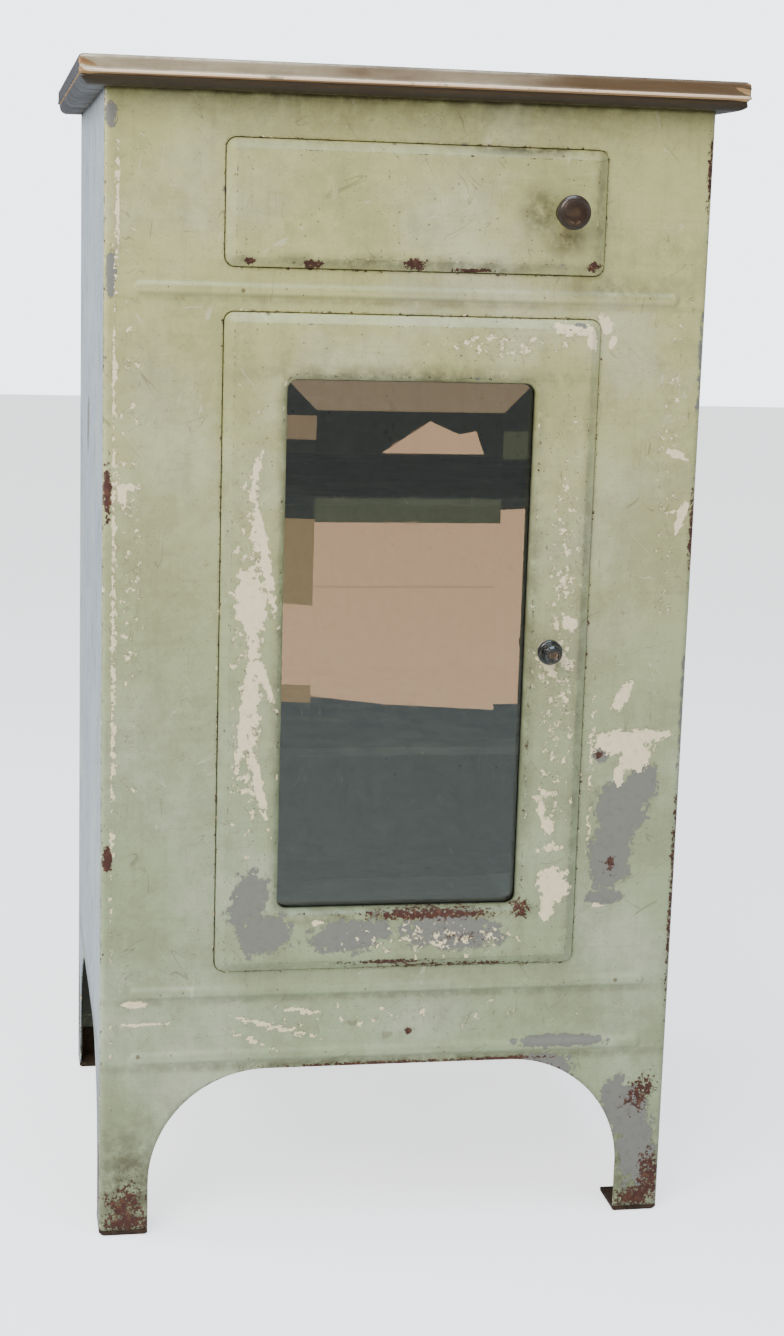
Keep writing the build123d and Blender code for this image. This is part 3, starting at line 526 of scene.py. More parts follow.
def specks_group() -> NodeTree:
    """Make the group for fly specks: small round dots, the Share of cells that hold one chosen at random."""
    w, given, out = start_group("dirt specks", ("Scale", "Share"), ("Mask",))
    cells = w.node("ShaderNodeTexVoronoi", {"Vector": given["Vector"], "Scale": given["Scale"]})
    pick = w.node("ShaderNodeSeparateColor", {0: cells.outputs["Color"]})
    chosen = w.maths("LESS_THAN", pick.outputs[0], given["Share"])
    reach = w.plus(0.06, w.times(pick.outputs[1], 0.16))
    inside = w.minus(reach, cells.outputs["Distance"])
    w.feed(out.inputs["Mask"], w.times(chosen, w.ramp(inside, 0.0, 0.06)))
    return w.tree


def clouds_group() -> NodeTree:
    """Make the group for blotchy dirt: two sizes of cloud laid over each other."""
    w, given, out = start_group("dirt clouds", ("Scale",), ("Mask",))
    scaled = w.scaled(given["Vector"], given["Scale"])
    large = w.noise(scaled, 1.0, 3.0)
    small = w.noise(scaled, 6.0, 6.0, 0.7)
    w.feed(out.inputs["Mask"], w.ramp(w.times(large, small), 0.14, 0.36))
    return w.tree


def hairlines_group() -> NodeTree:
    """Make the group for fine scratches: thin ridges of drawn-out noise, broken up into short lengths."""
    w, given, out = start_group("hairline scratches", ("Share",), ("Mask",))
    found = None
    for turn, scale in ((0.5, (9.0, 9.0, 70.0)), (-0.9, (8.0, 8.0, 60.0)), (1.45, (10.0, 10.0, 80.0))):
        turned = w.node(
            "ShaderNodeVectorRotate", {"Vector": given["Vector"], "Angle": turn}, rotation_type="Y_AXIS",
        ).outputs[0]
        line = w.noise(w.stretch(turned, scale), 1.0, 1.0, 0.4)
        ridge = w.minus(0.0045, w.maths("ABSOLUTE", w.minus(line, 0.5)))
        short = w.ramp(w.plus(w.noise(turned, 34.0, 2.0), given["Share"]), 0.98, 1.02)
        piece = w.times(w.ramp(ridge, 0.0, 0.003), short)
        found = piece if found is None else w.maths("MAXIMUM", found, piece)
    w.feed(out.inputs["Mask"], found)
    return w.tree


class Effects:
    """The shared node groups, made once, and the way that finishes use them."""

    def __init__(self) -> None:
        """Make every group."""
        self.groups = {
            "flakes": flakes_group(), "specks": specks_group(), "clouds": clouds_group(),
            "hairlines": hairlines_group(),
        }

    def use(self, w: Wiring, name: str, vector: object, **numbers) -> Node:
        """Put one group into a finish and feed it.

        Args:
            w: The finish's wiring.
            name: Which group.
            vector: Its coordinates.
            numbers: Its other inputs, by name.

        Returns:
            The group's node.
        """
        made = w.node("ShaderNodeGroup", node_tree=self.groups[name])
        w.feed(made.inputs["Vector"], vector)
        for key, value in numbers.items():
            w.feed(made.inputs[key], value)
        return made


EFFECTS = Effects()


def shade(red: float, green: float, blue: float) -> Colour:
    """Turn a colour as the eye reads it, 0 to 255, into the amounts of light that a shader takes."""
    return tuple((part / 255) ** 2.2 for part in (red, green, blue))


def new_finish(name: str) -> tuple[Material, Wiring, Node]:
    """Make an empty material with its shader.

    Args:
        name: The material's name.

    Returns:
        The material, its wiring and its Principled node.
    """
    made = bpy.data.materials.new(name)
    made.use_nodes = True
    wiring = Wiring(made.node_tree)
    return made, wiring, made.node_tree.nodes["Principled BSDF"]


def relief(w: Wiring, height: object, distance: float, strength: float = 1.0) -> Socket:
    """Return a normal that follows a height, distance metres deep."""
    made = w.node("ShaderNodeBump", {"Height": height, "Distance": distance, "Strength": strength})
    return made.outputs[0]


# ---------------------------------------------------------------- finishes


@dataclass(frozen=True)
class Enamel:
    """Old enamel on steel: two tones by height, dirt, specks, flakes down to primer and rust with a painted
    shadow round each, and stored dirt with painted shade.
    """

    name: str
    low_tone: Colour
    high_tone: Colour
    dirt: Colour = shade(96, 90, 58)
    primer: Colour = shade(238, 220, 176)
    undercoat: Colour = shade(120, 118, 110)
    rust: Colour = shade(68, 36, 28)
    rust_light: Colour = shade(112, 72, 48)
    tone_low_z: float = 0.30
    tone_high_z: float = 0.80
    pale_mottle: Colour = shade(205, 206, 182)
    speck_tone: Colour = shade(86, 72, 50)
    pale_scratch: Colour = shade(206, 200, 172)
    dark_scratch: Colour = shade(96, 84, 54)
    # The tone of the stored mask: dirt, and painted shade.
    grime_and_shade_tone: Colour = shade(74, 66, 42)
    check_tone: Colour = shade(40, 40, 44)
    # A painted shadow along the chips' edges.
    chip_rim_shadow: Colour = shade(60, 48, 34)
    specks: float = 0.24
    scratch_share: float = 0.42
    edge_wear: float = 0.36
    checks: float = 0.0
    roughness: float = 0.42
    chip_depth: float = 0.22 * MM

    def tone(self, w: Wiring, here: object) -> Socket:
        """Lay the clean paint's colour: one tone low down and one high up, gently mottled."""
        height = w.node("ShaderNodeSeparateXYZ", {0: here}).outputs[2]
        plain = w.blend(w.ramp(height, self.tone_low_z, self.tone_high_z), self.low_tone, self.high_tone)
        mottle = w.noise(here, 9.0, 5.0, 0.6)
        lighter = w.blend(w.ramp(mottle, 0.45, 0.75), plain, self.pale_mottle)
        return w.blend(0.4, plain, lighter)

    def dirty(self, w: Wiring, here: object, colour: object) -> Socket:
        """Lay blotches, runs, specks, and the stored mask of dirt and painted shade, over the paint."""
        clouds = EFFECTS.use(w, "clouds", here, Scale=14.0).outputs[0]
        colour = w.blend(w.times(clouds, 0.26), colour, self.dirt)
        upright = w.ramp(w.noise(w.stretch(here, (150.0, 150.0, 14.0)), 1.0, 5.0, 0.65), 0.50, 0.72)
        level = w.ramp(w.noise(w.stretch(here, (16.0, 16.0, 190.0)), 1.0, 5.0, 0.65), 0.50, 0.72)
        colour = w.blend(w.times(upright, 0.13), colour, self.dirt)
        colour = w.blend(w.times(level, 0.11), colour, self.dirt)
        grain = w.noise(here, 420.0, 3.0, 0.7)
        colour = w.blend(w.times(w.ramp(grain, 0.55, 0.75), 0.22), colour, self.dirt)
        for scale, share in ((110.0, 0.14), (230.0, 0.22), (420.0, 0.24)):
            dots = EFFECTS.use(w, "specks", here, Scale=scale, Share=share * self.specks * 4).outputs[0]
            colour = w.blend(w.times(dots, 0.74), colour, self.speck_tone)
        lines = EFFECTS.use(w, "hairlines", here, Share=0.40).outputs[0]
        colour = w.blend(w.times(lines, self.scratch_share), colour, self.pale_scratch)
        moved = w.shifted(here, (0.4, 0.2, 0.6))
        lines = EFFECTS.use(w, "hairlines", moved, Share=0.42).outputs[0]
        colour = w.blend(w.times(lines, self.scratch_share), colour, self.dark_scratch)
        # The stored mask: dirt by the feet, and painted shade under the top, under the ribs and down the bands'
        # right sides.
        stored = w.times(w.stored("grime_shade_and_ends", "Fac"), w.ramp(w.noise(here, 60.0, 6.0, 0.7), 0.30, 0.62))
        return w.blend(w.times(stored, 0.92), colour, self.grime_and_shade_tone)

    def material(self) -> Material:
        """Build the finish.

        Returns:
            The material.
        """
        made, w, shader = new_finish(self.name)
        here = w.place()
        colour = self.dirty(w, here, self.tone(w, here))
        if self.checks:
            lines = w.ramp(w.noise(w.stretch(here, (240.0, 240.0, 24.0)), 1.0, 4.0, 0.6), 1.46 - self.checks,
                           1.49 - self.checks)
            colour = w.blend(w.times(lines, 0.85), colour, self.check_tone)
        amounts = w.node("ShaderNodeSeparateColor", {0: w.stored("wear_and_highlight", "Color")}).outputs
        edges = w.times(w.stored("edge", "Fac"), self.edge_wear)
        coats = (
            (self.undercoat, self.undercoat, amounts[1], 110.0, w.times(edges, 0.9)),
            (self.primer, self.primer, amounts[0], 170.0, edges),
            (self.rust, self.rust_light, amounts[2], 330.0, w.times(edges, 1.08)),
        )
        bare = None
        for number, (coat, second, amount, scale, worn) in enumerate(coats):
            shifted = w.shifted(here, (0.7 * number, 0.3, 0.9 * number))
            chip = EFFECTS.use(w, "flakes", shifted, Amount=w.maths("MAXIMUM", amount, worn), Scale=scale)
            toned = w.blend(w.ramp(w.noise(shifted, 210.0, 6.0, 0.7), 0.48, 0.70), coat,
                            tuple(part * 0.84 for part in second))
            # A painted shadow along each chip's edge.
            colour = w.blend(w.times(chip.outputs["Rim shadow"], 0.30), colour, self.chip_rim_shadow)
            colour = w.blend(chip.outputs["Mask"], colour, toned)
            bare = chip.outputs["Mask"] if bare is None else w.maths("MAXIMUM", bare, chip.outputs["Mask"])
        w.feed(shader.inputs["Base Color"], colour)
        uneven = w.times(w.noise(here, 70.0, 4.0), 0.16)
        rough = w.plus(w.plus(uneven, self.roughness - 0.08), w.times(bare, 0.34))
        w.feed(shader.inputs["Roughness"], rough)
        peel = w.times(w.noise(here, 380.0, 2.0), 0.25)
        w.feed(shader.inputs["Normal"], relief(w, w.minus(peel, bare), self.chip_depth, 0.8))
        return made


@dataclass(frozen=True)
class WornMetal:
    """Bare or coated metal with cloudy stains: steel parts, rusty feet and the knobs."""

    name: str
    colour: Colour
    stain: Colour
    metallic: float = 1.0
    roughness: float = 0.4
    stain_scale: float = 40.0
    stain_share: float = 0.6
    pit_depth: float = 0.05 * MM
    coat: float = 0.0

    def material(self) -> Material:
        """Build the finish.

        Returns:
            The material.
        """
        made, w, shader = new_finish(self.name)
        here = w.place()
        stains = EFFECTS.use(w, "clouds", here, Scale=self.stain_scale).outputs[0]
        w.feed(shader.inputs["Base Color"], w.blend(w.times(stains, self.stain_share), self.colour,
                                                    self.stain))
        shader.inputs["Metallic"].default_value = self.metallic
        shader.inputs["Coat Weight"].default_value = self.coat
        w.feed(shader.inputs["Roughness"], w.plus(w.times(stains, 0.2), self.roughness))
        w.feed(shader.inputs["Normal"], relief(w, w.noise(here, 600.0, 4.0, 0.7), self.pit_depth))
        return made


@dataclass(frozen=True)
class TopMetal:
    """The folded metal of the top: stained face, a painted highlight along the bead, rusty hollow, dark
    underside and grey ends.
    """

    name: str = "stained top metal"
    face: Colour = shade(172, 156, 130)
    face_dark: Colour = shade(98, 76, 52)
    # The bead's colour is a painted highlight: a bright line along the rolled bead.
    bead: Colour = shade(248, 214, 180)
    hollow: Colour = shade(112, 70, 28)
    underside: Colour = shade(58, 48, 34)
    end_grey: Colour = shade(66, 64, 66)
    streak: Colour = shade(110, 92, 72)
    stain: Colour = shade(84, 66, 46)
    under_dark: Colour = shade(56, 46, 36)
    hollow_dark: Colour = shade(84, 56, 30)
    end_dark: Colour = shade(52, 52, 54)

    def material(self) -> Material:
        """Build the finish.

        Returns:
            The material.
        """
        made, w, shader = new_finish(self.name)
        here = w.place()
        stains = EFFECTS.use(w, "clouds", here, Scale=18.0).outputs[0]
        sideways = w.node("ShaderNodeSeparateXYZ", {0: here}).outputs[0]
        uneven = w.noise(w.stretch(here, (9.0, 9.0, 30.0)), 1.0, 3.0)
        along = w.plus(w.times(sideways, 1.3), uneven)
        streaks = w.noise(w.stretch(here, (16.0, 16.0, 300.0)), 1.0, 4.0, 0.6)
        face = w.blend(w.ramp(along, 0.30, 0.68), self.face, self.face_dark)
        face = w.blend(w.times(w.ramp(streaks, 0.42, 0.72), 0.4), face, self.streak)
        face = w.blend(w.times(stains, 0.25), face, self.stain)
        parts = w.node("ShaderNodeSeparateColor", {0: w.stored("wear_and_highlight", "Color")}).outputs
        under = w.blend(w.ramp(w.noise(here, 60.0, 5.0, 0.7), 0.4, 0.7), self.underside, self.under_dark)
        colour = w.blend(parts[1], face, under)
        rusty = w.times(w.ramp(parts[2], 0.34, 0.75), w.ramp(w.noise(here, 90.0, 5.0, 0.7), 0.25, 0.5))
        colour = w.blend(rusty, colour, w.blend(w.noise(here, 200.0), self.hollow, self.hollow_dark))
        # A painted highlight along the bead, broken up by noise.
        bright = w.times(parts[0], w.ramp(w.noise(here, 70.0, 4.0, 0.7), 0.26, 0.46))
        colour = w.blend(bright, colour, self.bead)
        ends = w.blend(w.ramp(w.noise(here, 130.0, 6.0, 0.7), 0.4, 0.7), self.end_grey, self.end_dark)
        # On the top the stored mask marks its grey ends.
        colour = w.blend(w.stored("grime_shade_and_ends", "Fac"), colour, ends)
        w.feed(shader.inputs["Base Color"], colour)
        shader.inputs["Metallic"].default_value = 0.35
        w.feed(shader.inputs["Roughness"], w.plus(w.times(stains, 0.25), 0.36))
        w.feed(shader.inputs["Normal"], relief(w, w.noise(here, 260.0, 5.0, 0.7), 0.15 * MM))
        return made


@dataclass(frozen=True)
class PlateGlass:
    """Thick plate with a grey body, deepened to darken the cabinet's inside seen through it as painted shade,
    and a film of dirt.
    """

    name: str = "plate glass"
    # The deepened grey is painted shade for the inside seen through the glass.
    colour: Colour = (0.60, 0.63, 0.59)
    refraction: float = 1.75

    def material(self) -> Material:
        """Build the finish.

        Returns:
            The material.
        """
        made, w, shader = new_finish(self.name)
        here = w.place()
        shader.inputs["Base Color"].default_value = (*self.colour, 1.0)
        shader.inputs["Transmission Weight"].default_value = 1.0
        shader.inputs["IOR"].default_value = self.refraction
        film = w.ramp(w.noise(w.stretch(here, (60.0, 60.0, 8.0)), 1.0, 5.0, 0.6), 0.45, 0.8)
        w.feed(shader.inputs["Roughness"], w.plus(w.times(film, 0.03), 0.004))
        return made


@dataclass(frozen=True)
class RawBoard:
    """Plain softwood board with a drawn-out grain."""

    name: str = "raw board"
    light: Colour = shade(176, 140, 96)
    dark: Colour = shade(120, 86, 52)

    def material(self) -> Material:
        """Build the finish.

        Returns:
            The material.
        """
        made, w, shader = new_finish(self.name)
        grain = w.noise(w.stretch(w.place(), (4.0, 60.0, 60.0)), 1.0, 6.0, 0.65)
        w.feed(shader.inputs["Base Color"], w.blend(w.ramp(grain, 0.35, 0.65), self.light, self.dark))
        shader.inputs["Roughness"].default_value = 0.8
        return made


# ---------------------------------------------------------------- the cabinet's pieces


@dataclass
class FrontPanel:
    """The pressed front: two openings with turned-in lips, three ribs and the front arch."""

    finish: Material
    spots: list[Spot]
    node: str = "front_panel"
    sheet: float = 1.2 * MM
    bend: float = 5 * MM
    side_return: float = 9 * MM
    gap: float = 0.6 * MM
    corner: float = 7.5 * MM
    lip_bend: float = 0.5 * MM
    lip_depth: float = 10 * MM
    rib_levels: tuple[float, ...] = (0.147, 0.200, 0.740)
    rib_half: float = 0.207
    rib_half_width: float = 5.5 * MM
    rib_height: float = 2.2 * MM
    leg: float = 38 * MM
    arch_height: float = 135.5 * MM
    arch_radius: float = 92 * MM
    arch_line: float = 139 * MM
    step: float = 3 * MM

    def __post_init__(self) -> None:
        """Read the panel's own places from the frame."""
        low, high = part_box(self.node)
        self.plane = low.y + self.rib_height
        self.half = high.x
        self.flat_half = self.half - self.bend
        self.bottom, self.top = low.z, high.z
        self.openings = []
        for front in ("drawer_front", "door_pan"):
            piece_low, piece_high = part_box(front)
            opening = RoundedBox((piece_low.x, piece_low.z), (piece_high.x, piece_high.z), self.corner)
            self.openings.append(opening.grown(self.gap + self.lip_bend))
        self.arch = Arch(0.0, self.half - self.leg, self.arch_height, self.arch_radius, self.bottom,
                         self.arch_line)

    def lines_across(self) -> np.ndarray:
        """Return the grid's places across: close together at rib ends and opening edges."""
        opening = self.openings[0]
        low, high = opening.low[0], opening.high[0]
        near, fine, rib_step = 10 * MM, 1 * MM, 0.8 * MM
        rib_tip, rib_inside = self.rib_half + MM, self.rib_half - 6 * MM
        return steps(
            (-self.flat_half, -rib_tip, self.step), (-rib_tip, -rib_inside, rib_step),
            (-rib_inside, low - MM, self.step), (low - MM, low, fine), (low, low + near, fine),
            (low + near, high - near, self.step), (high - near, high, fine), (high, high + MM, fine),
            (high + MM, rib_inside, self.step), (rib_inside, rib_tip, rib_step),
            (rib_tip, self.flat_half, self.step),
        )

    def lines_up(self) -> np.ndarray:
        """Return the grid's heights above the arch line: close together in the ribs and corners."""
        near, fine, rib = 10 * MM, 1 * MM, self.rib_half_width
        stretches, reached = [], self.arch_line
        marks = []
        for level in self.rib_levels:
            marks.append((level - rib, level + rib, 0.6 * MM))
        for opening in self.openings:
            marks.append((opening.low[1], opening.low[1] + near, fine))
            marks.append((opening.high[1] - near, opening.high[1], fine))
        for start, end, step in sorted(marks):
            if start - reached > 0.01 * MM:
                stretches.append((reached, start, self.step))
            stretches.append((start, end, step))
            reached = end
        stretches.append((reached, self.top, self.step))
        return steps(*stretches)

    def rounded(self, points: np.ndarray) -> np.ndarray:
        """Move points near the openings' corners so that each corner becomes an arc.

        A point on an opening's straight edges within one radius of a corner goes to the arc,
        in proportion; points farther out follow, less and less over the reach.

        Args:
            points: Points of the flat sheet, two numbers each.

        Returns:
            The moved points.
        """
        moved = points.copy()
        reach = 8 * MM
        for opening in self.openings:
            r = opening.radius
            for side, corner_x in ((-1, opening.low[0]), (1, opening.high[0])):
                for end, corner_z in ((-1, opening.low[1]), (1, opening.high[1])):
                    u = side * (points[..., 0] - corner_x)
                    v = end * (points[..., 1] - corner_z)
                    a, b = np.clip(-u, 0, r) / r, np.clip(-v, 0, r) / r
                    angle = math.pi / 4 * (1 + a - b)
                    away = np.hypot(np.maximum(u, 0), np.maximum(v, 0))
                    share = np.clip(1 - away / reach, 0, 1) ** 2 * ((a == 0) | (b == 0))
                    moved[..., 0] += side * share * (r * (np.cos(angle) - 1) + a * r)
                    moved[..., 1] += end * share * (r * (np.sin(angle) - 1) + b * r)
        return moved

    def lip(self, opening: RoundedBox, across: np.ndarray, up: np.ndarray) -> Patch:
        """Turn one opening's edge inwards: a small round bend, then straight back."""
        xs = across[(across > opening.low[0] - 1e-7) & (across < opening.high[0] + 1e-7)]
        zs = up[(up > opening.low[1] - 1e-7) & (up < opening.high[1] + 1e-7)]
        across_count, up_count = len(xs) - 1, len(zs) - 1
        path = np.concatenate([
            np.stack([xs[:-1], np.full(across_count, opening.low[1])], 1),
            np.stack([np.full(up_count, opening.high[0]), zs[:-1]], 1),
            np.stack([xs[:0:-1], np.full(across_count, opening.high[1])], 1),
            np.stack([np.full(up_count, opening.low[0]), zs[:0:-1]], 1),
        ])
        path = self.rounded(path)
        core = np.clip(path, np.array(opening.low) + opening.radius, np.array(opening.high) - opening.radius)
        outward = (path - core) / np.linalg.norm(path - core, axis=1, keepdims=True)
        turn = np.radians(np.linspace(0, 90, 5))
        insets = np.concatenate([self.lip_bend * np.sin(turn), np.full(4, self.lip_bend)])
        depths = np.concatenate([self.lip_bend * (1 - np.cos(turn)),
                                 np.linspace(self.lip_bend, self.lip_depth, 5)[1:]])
        flat = core + (opening.radius - insets[:, None, None]) * outward
        flat[0] = path
        depth = np.broadcast_to((self.plane + depths)[:, None], flat.shape[:2])
        return Patch(np.stack([flat[..., 0], depth, flat[..., 1]], -1), around=True)

    def side_strip(self, side: int, heights: np.ndarray) -> Patch:
        """Bend one upright edge of the sheet round the corner and back along the side."""
        turn = np.radians(np.linspace(0, 90, 9))
        xs = np.concatenate([self.flat_half + self.bend * np.sin(turn), [self.half]])
        ys = np.concatenate([self.plane + self.bend * (1 - np.cos(turn)), [self.plane + self.side_return]])
        grid = np.empty((len(xs), len(heights), 3))
        grid[..., 0] = side * xs[:, None]
        grid[..., 1] = ys[:, None]
        grid[..., 2] = heights
        return Patch(grid)

    def ribs(self, across: np.ndarray, up: np.ndarray) -> np.ndarray:
        """Work out how far the pressed ribs stand out.

        Across each rib the height is full over the middle and falls away as a smooth step to
        nothing at half the rib's width; the ends are half rounds.

        Args:
            across: Each point's place across.
            up: Each point's height.

        Returns:
            Heights in metres.
        """
        height = np.zeros_like(across)
        straight = self.rib_half - self.rib_half_width
        for level in self.rib_levels:
            away = np.hypot(np.maximum(np.abs(across) - straight, 0), up - level)
            share = np.clip((self.rib_half_width - away) / (0.72 * self.rib_half_width), 0, 1)
            height = np.maximum(height, self.rib_height * np.sin(share * math.pi / 2) ** 1.3)
        return height

    def build(self) -> Object:
        """Make the panel, press its ribs, dent and dress it.

        Returns:
            The finished piece.
        """
        across, up = self.lines_across(), self.lines_up()
        xs, zs = np.meshgrid(across, up)
        flat = self.rounded(np.stack([xs, zs], -1))
        middle_x = (across[:-1] + across[1:]) / 2
        middle_z = (up[:-1] + up[1:]) / 2
        keep = np.ones((len(middle_z), len(middle_x)), bool)
        for opening in self.openings:
            inside_x = (middle_x > opening.low[0]) & (middle_x < opening.high[0])
            inside_z = (middle_z > opening.low[1]) & (middle_z < opening.high[1])
            keep &= ~(inside_z[:, None] & inside_x[None, :])
        level = np.full(flat.shape[:2], self.plane)
        patches = [Patch(np.stack([flat[..., 0], level, flat[..., 1]], -1), keep=keep)]
        ring, leg_heights = self.arch.ring(-self.flat_half, self.flat_half, across, 14)
        patches.append(Patch(np.stack([ring[..., 0], np.full(ring.shape[:2], self.plane), ring[..., 1]], -1)))
        for opening in self.openings:
            patches.append(self.lip(opening, across, up))
        heights = np.concatenate([leg_heights, up])
        for side in (-1, 1):
            patches.append(self.side_strip(side, heights))
        made = joined_mesh("pressed_front_panel", patches, Vector((0, -1, 0)))
        points = read_points(made)
        x, y, z = points.T
        on_face = np.clip(1 - (y - self.plane) / self.bend, 0, 1)
        points[:, 1] += on_face * (ripple(x, z, 0.5 * MM) * np.clip((self.half - np.abs(x)) / 0.04, 0, 1)
                                   - self.ribs(x, z))
        write_points(made, points)
        lines = [np.abs(o.distance(x, z)) / (4 * MM) for o in self.openings]
        lines += [np.abs(self.arch.outline().distance(x, z)) / (6 * MM), (self.half - np.abs(x)) / (6 * MM)]
        write_numbers(made, "edge", np.clip(1 - np.min(lines, axis=0), 0, 1))
        write_wear(made, x, z, self.spots)
        thicken(made, self.sheet)
        return hand_over(made, self.finish, self.node, "cabinet")


@dataclass
class SidePanel:
    """One flat side with an arch between its legs and its rear edge turned inwards."""

    side: int
    finish: Material
    spots: list[Spot]
    sheet: float = 1.2 * MM
    bend: float = 5 * MM
    flange: float = 14 * MM
    leg: float = 38 * MM
    front_return: float = 9 * MM
    arch_height: float = 135.5 * MM
    arch_radius: float = 92 * MM
    arch_line: float = 139 * MM
    step: float = 4 * MM

    def build(self) -> Object:
        """Make the side and dress it.

        Returns:
            The finished piece.
        """
        name = "left" if self.side < 0 else "right"
        low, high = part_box(f"{name}_side_panel")
        outside = self.side * max(abs(low.x), abs(high.x))
        front, back = low.y, high.y
        middle = (front - self.front_return + back) / 2
        half_span = (back - front + self.front_return) / 2 - self.leg
        arch = Arch(middle, half_span, self.arch_height, self.arch_radius, low.z, self.arch_line)
        along = steps((front, back - self.bend, self.step))
        up = steps((self.arch_line, high.z, self.step))
        ys, zs = np.meshgrid(along, up)
        plain = np.stack([np.full_like(ys, outside), ys, zs], -1)
        ring, leg_heights = arch.ring(front, back - self.bend, along, 14)
        legs = np.stack([np.full(ring.shape[:2], outside), ring[..., 0], ring[..., 1]], -1)
        turn = np.radians(np.linspace(0, 90, 7))
        in_x = np.concatenate([self.bend * (1 - np.cos(turn)), [self.flange]])
        to_y = np.concatenate([back - self.bend + self.bend * np.sin(turn), [back]])
        heights = np.concatenate([leg_heights, up])
        rear = np.empty((len(in_x), len(heights), 3))
        rear[..., 0] = outside - self.side * in_x[:, None]
        rear[..., 1] = to_y[:, None]
        rear[..., 2] = heights
        made = joined_mesh(f"{name}_side_sheet", [Patch(plain), Patch(legs), Patch(rear)],
                           Vector((self.side, 0, 0)))
        points = read_points(made)
        x, y, z = points.T
        on_face = np.clip(1 - np.abs(x - outside) / self.bend, 0, 1)
        edge = np.clip(np.minimum(y - front, back - y) / 0.05, 0, 1)
        points[:, 0] -= self.side * on_face * edge * ripple(y + self.side, z, 0.9 * MM)
        write_points(made, points)
        lines = [np.abs(arch.outline().distance(y, z)) / (6 * MM)]
        lines += [(y - front) / (5 * MM), (back - y) / (7 * MM)]
        write_numbers(made, "edge", np.clip(1 - np.min(lines, axis=0), 0, 1))
        write_wear(made, y, z, self.spots)
        thicken(made, self.sheet)
        return hand_over(made, self.finish, f"{name}_side_panel", "cabinet")


@dataclass
class PressedFront:
    """A pressed pan with a sloping edge band: the drawer's front, or the door with its window."""

    name: str
    node: str
    body: str
    finish: Material
    spots: list[Spot]
    glass: str | None = None
    sheet: float = 1.2 * MM
    corner: float = 7.5 * MM
    band: float = 7.6 * MM
    band_depth: float = 4.6 * MM
    glass_lap: float = 8 * MM
    window_corner: float = 8 * MM
    roll: float = 7.5 * MM
    window_back: float = 12 * MM
    step: float = 2.2 * MM

    def band_rows(self, depth: float) -> list[tuple[float, float]]:
        """List the edge's profile as inset and depth: the return, a tight bend, the slope, a crisp bend."""
        top = self.band_depth
        slope = [(0.9 * MM + t * (self.band - 2 * MM), top - 0.4 * MM - t * (top - 0.9 * MM))
                 for t in np.linspace(0, 1, 6)]
        return [
            (0.0, depth), (0.0, (depth + top) / 2), (0.0, top + 1.6 * MM), (0.10 * MM, top + 0.8 * MM),
            (0.40 * MM, top + 0.1 * MM), *slope,
            (self.band - 0.6 * MM, 0.22 * MM), (self.band, 0.05 * MM), (self.band + 0.7 * MM, 0.0),
            (self.band + 1.6 * MM, 0.0),
        ]

    def build(self) -> Object:
        """Make the pan, dent and dress it.

        Returns:
            The finished piece.
        """
        low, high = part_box(self.node)
        outline = RoundedBox((low.x, low.z), (high.x, high.z), self.corner)
        counts = (round((high.x - low.x) / self.step), round((high.z - low.z) / self.step), 8)
        rows = self.band_rows(high.y - low.y)
        loops = [(outline.grown(-inset).loop(*counts), low.y + depth) for inset, depth in rows]
        start = loops[-1][0]
        window = None
        if self.glass:
            glass_low, glass_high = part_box(self.glass)
            lap = self.glass_lap
            window = RoundedBox(
                (glass_low.x + lap, glass_low.z + lap), (glass_high.x - lap, glass_high.z - lap),
                self.window_corner,
            )
            end = window.grown(self.roll).loop(*counts)
            shares = np.linspace(0, 1, 18)[1:]
        else:
            middle = np.array([(low.x + high.x) / 2, (low.z + high.z) / 2])
            reach = (high.x - low.x - high.z + low.z) / 2
            end = np.stack([middle[0] + np.clip(start[:, 0] - middle[0], -reach, reach),
                            np.full(len(start), middle[1])], 1)
            shares = np.linspace(0, 1, 20)[1:]
        loops += [(start + (end - start) * share, low.y) for share in shares]
        if window:
            for turn in np.radians(np.linspace(0, 90, 9)[1:]):
                inset = self.roll * (1 - math.sin(turn))
                loops.append((window.grown(inset).loop(*counts), low.y + self.roll * (1 - math.cos(turn))))
            loops.append((window.loop(*counts), low.y + self.window_back))
        grid = np.empty((len(loops), len(start), 3))
        for number, (loop, depth) in enumerate(loops):
            grid[number, :, 0], grid[number, :, 1], grid[number, :, 2] = loop[:, 0], depth, loop[:, 1]
        made = joined_mesh(self.name, [Patch(grid, around=True)], Vector((0, -1, 0)))
        self.dress(made, outline, window, low.y)
        return hand_over(made, self.finish, self.node, self.body)

    def dress(self, made: Object, outline: RoundedBox, window: RoundedBox | None, face: float) -> None:
        """Press in the slow dents, store the wear and thicken the sheet."""
        points = read_points(made)
        x, y, z = points.T
        inside = -outline.distance(x, z)
        flat = np.clip((inside - self.band) / (12 * MM), 0, 1) * np.clip(1 - (y - face) / (4 * MM), 0, 1)
        if window:
            flat *= np.clip((window.distance(x, z) - self.roll) / (8 * MM), 0, 1)
        points[:, 1] += flat * ripple(1.7 * x, 1.3 * z, 0.45 * MM)
        write_points(made, points)
        lines = [np.abs(inside) / (2.2 * MM), np.abs(inside - self.band) / (1.6 * MM)]
        if window:
            lines.append(np.abs(window.distance(x, z) - 0.4 * self.roll) / (4 * MM))
        write_numbers(made, "edge", np.clip(1 - np.min(lines, axis=0), 0, 1))
        write_wear(made, x, z, self.spots)
        thicken(made, self.sheet)


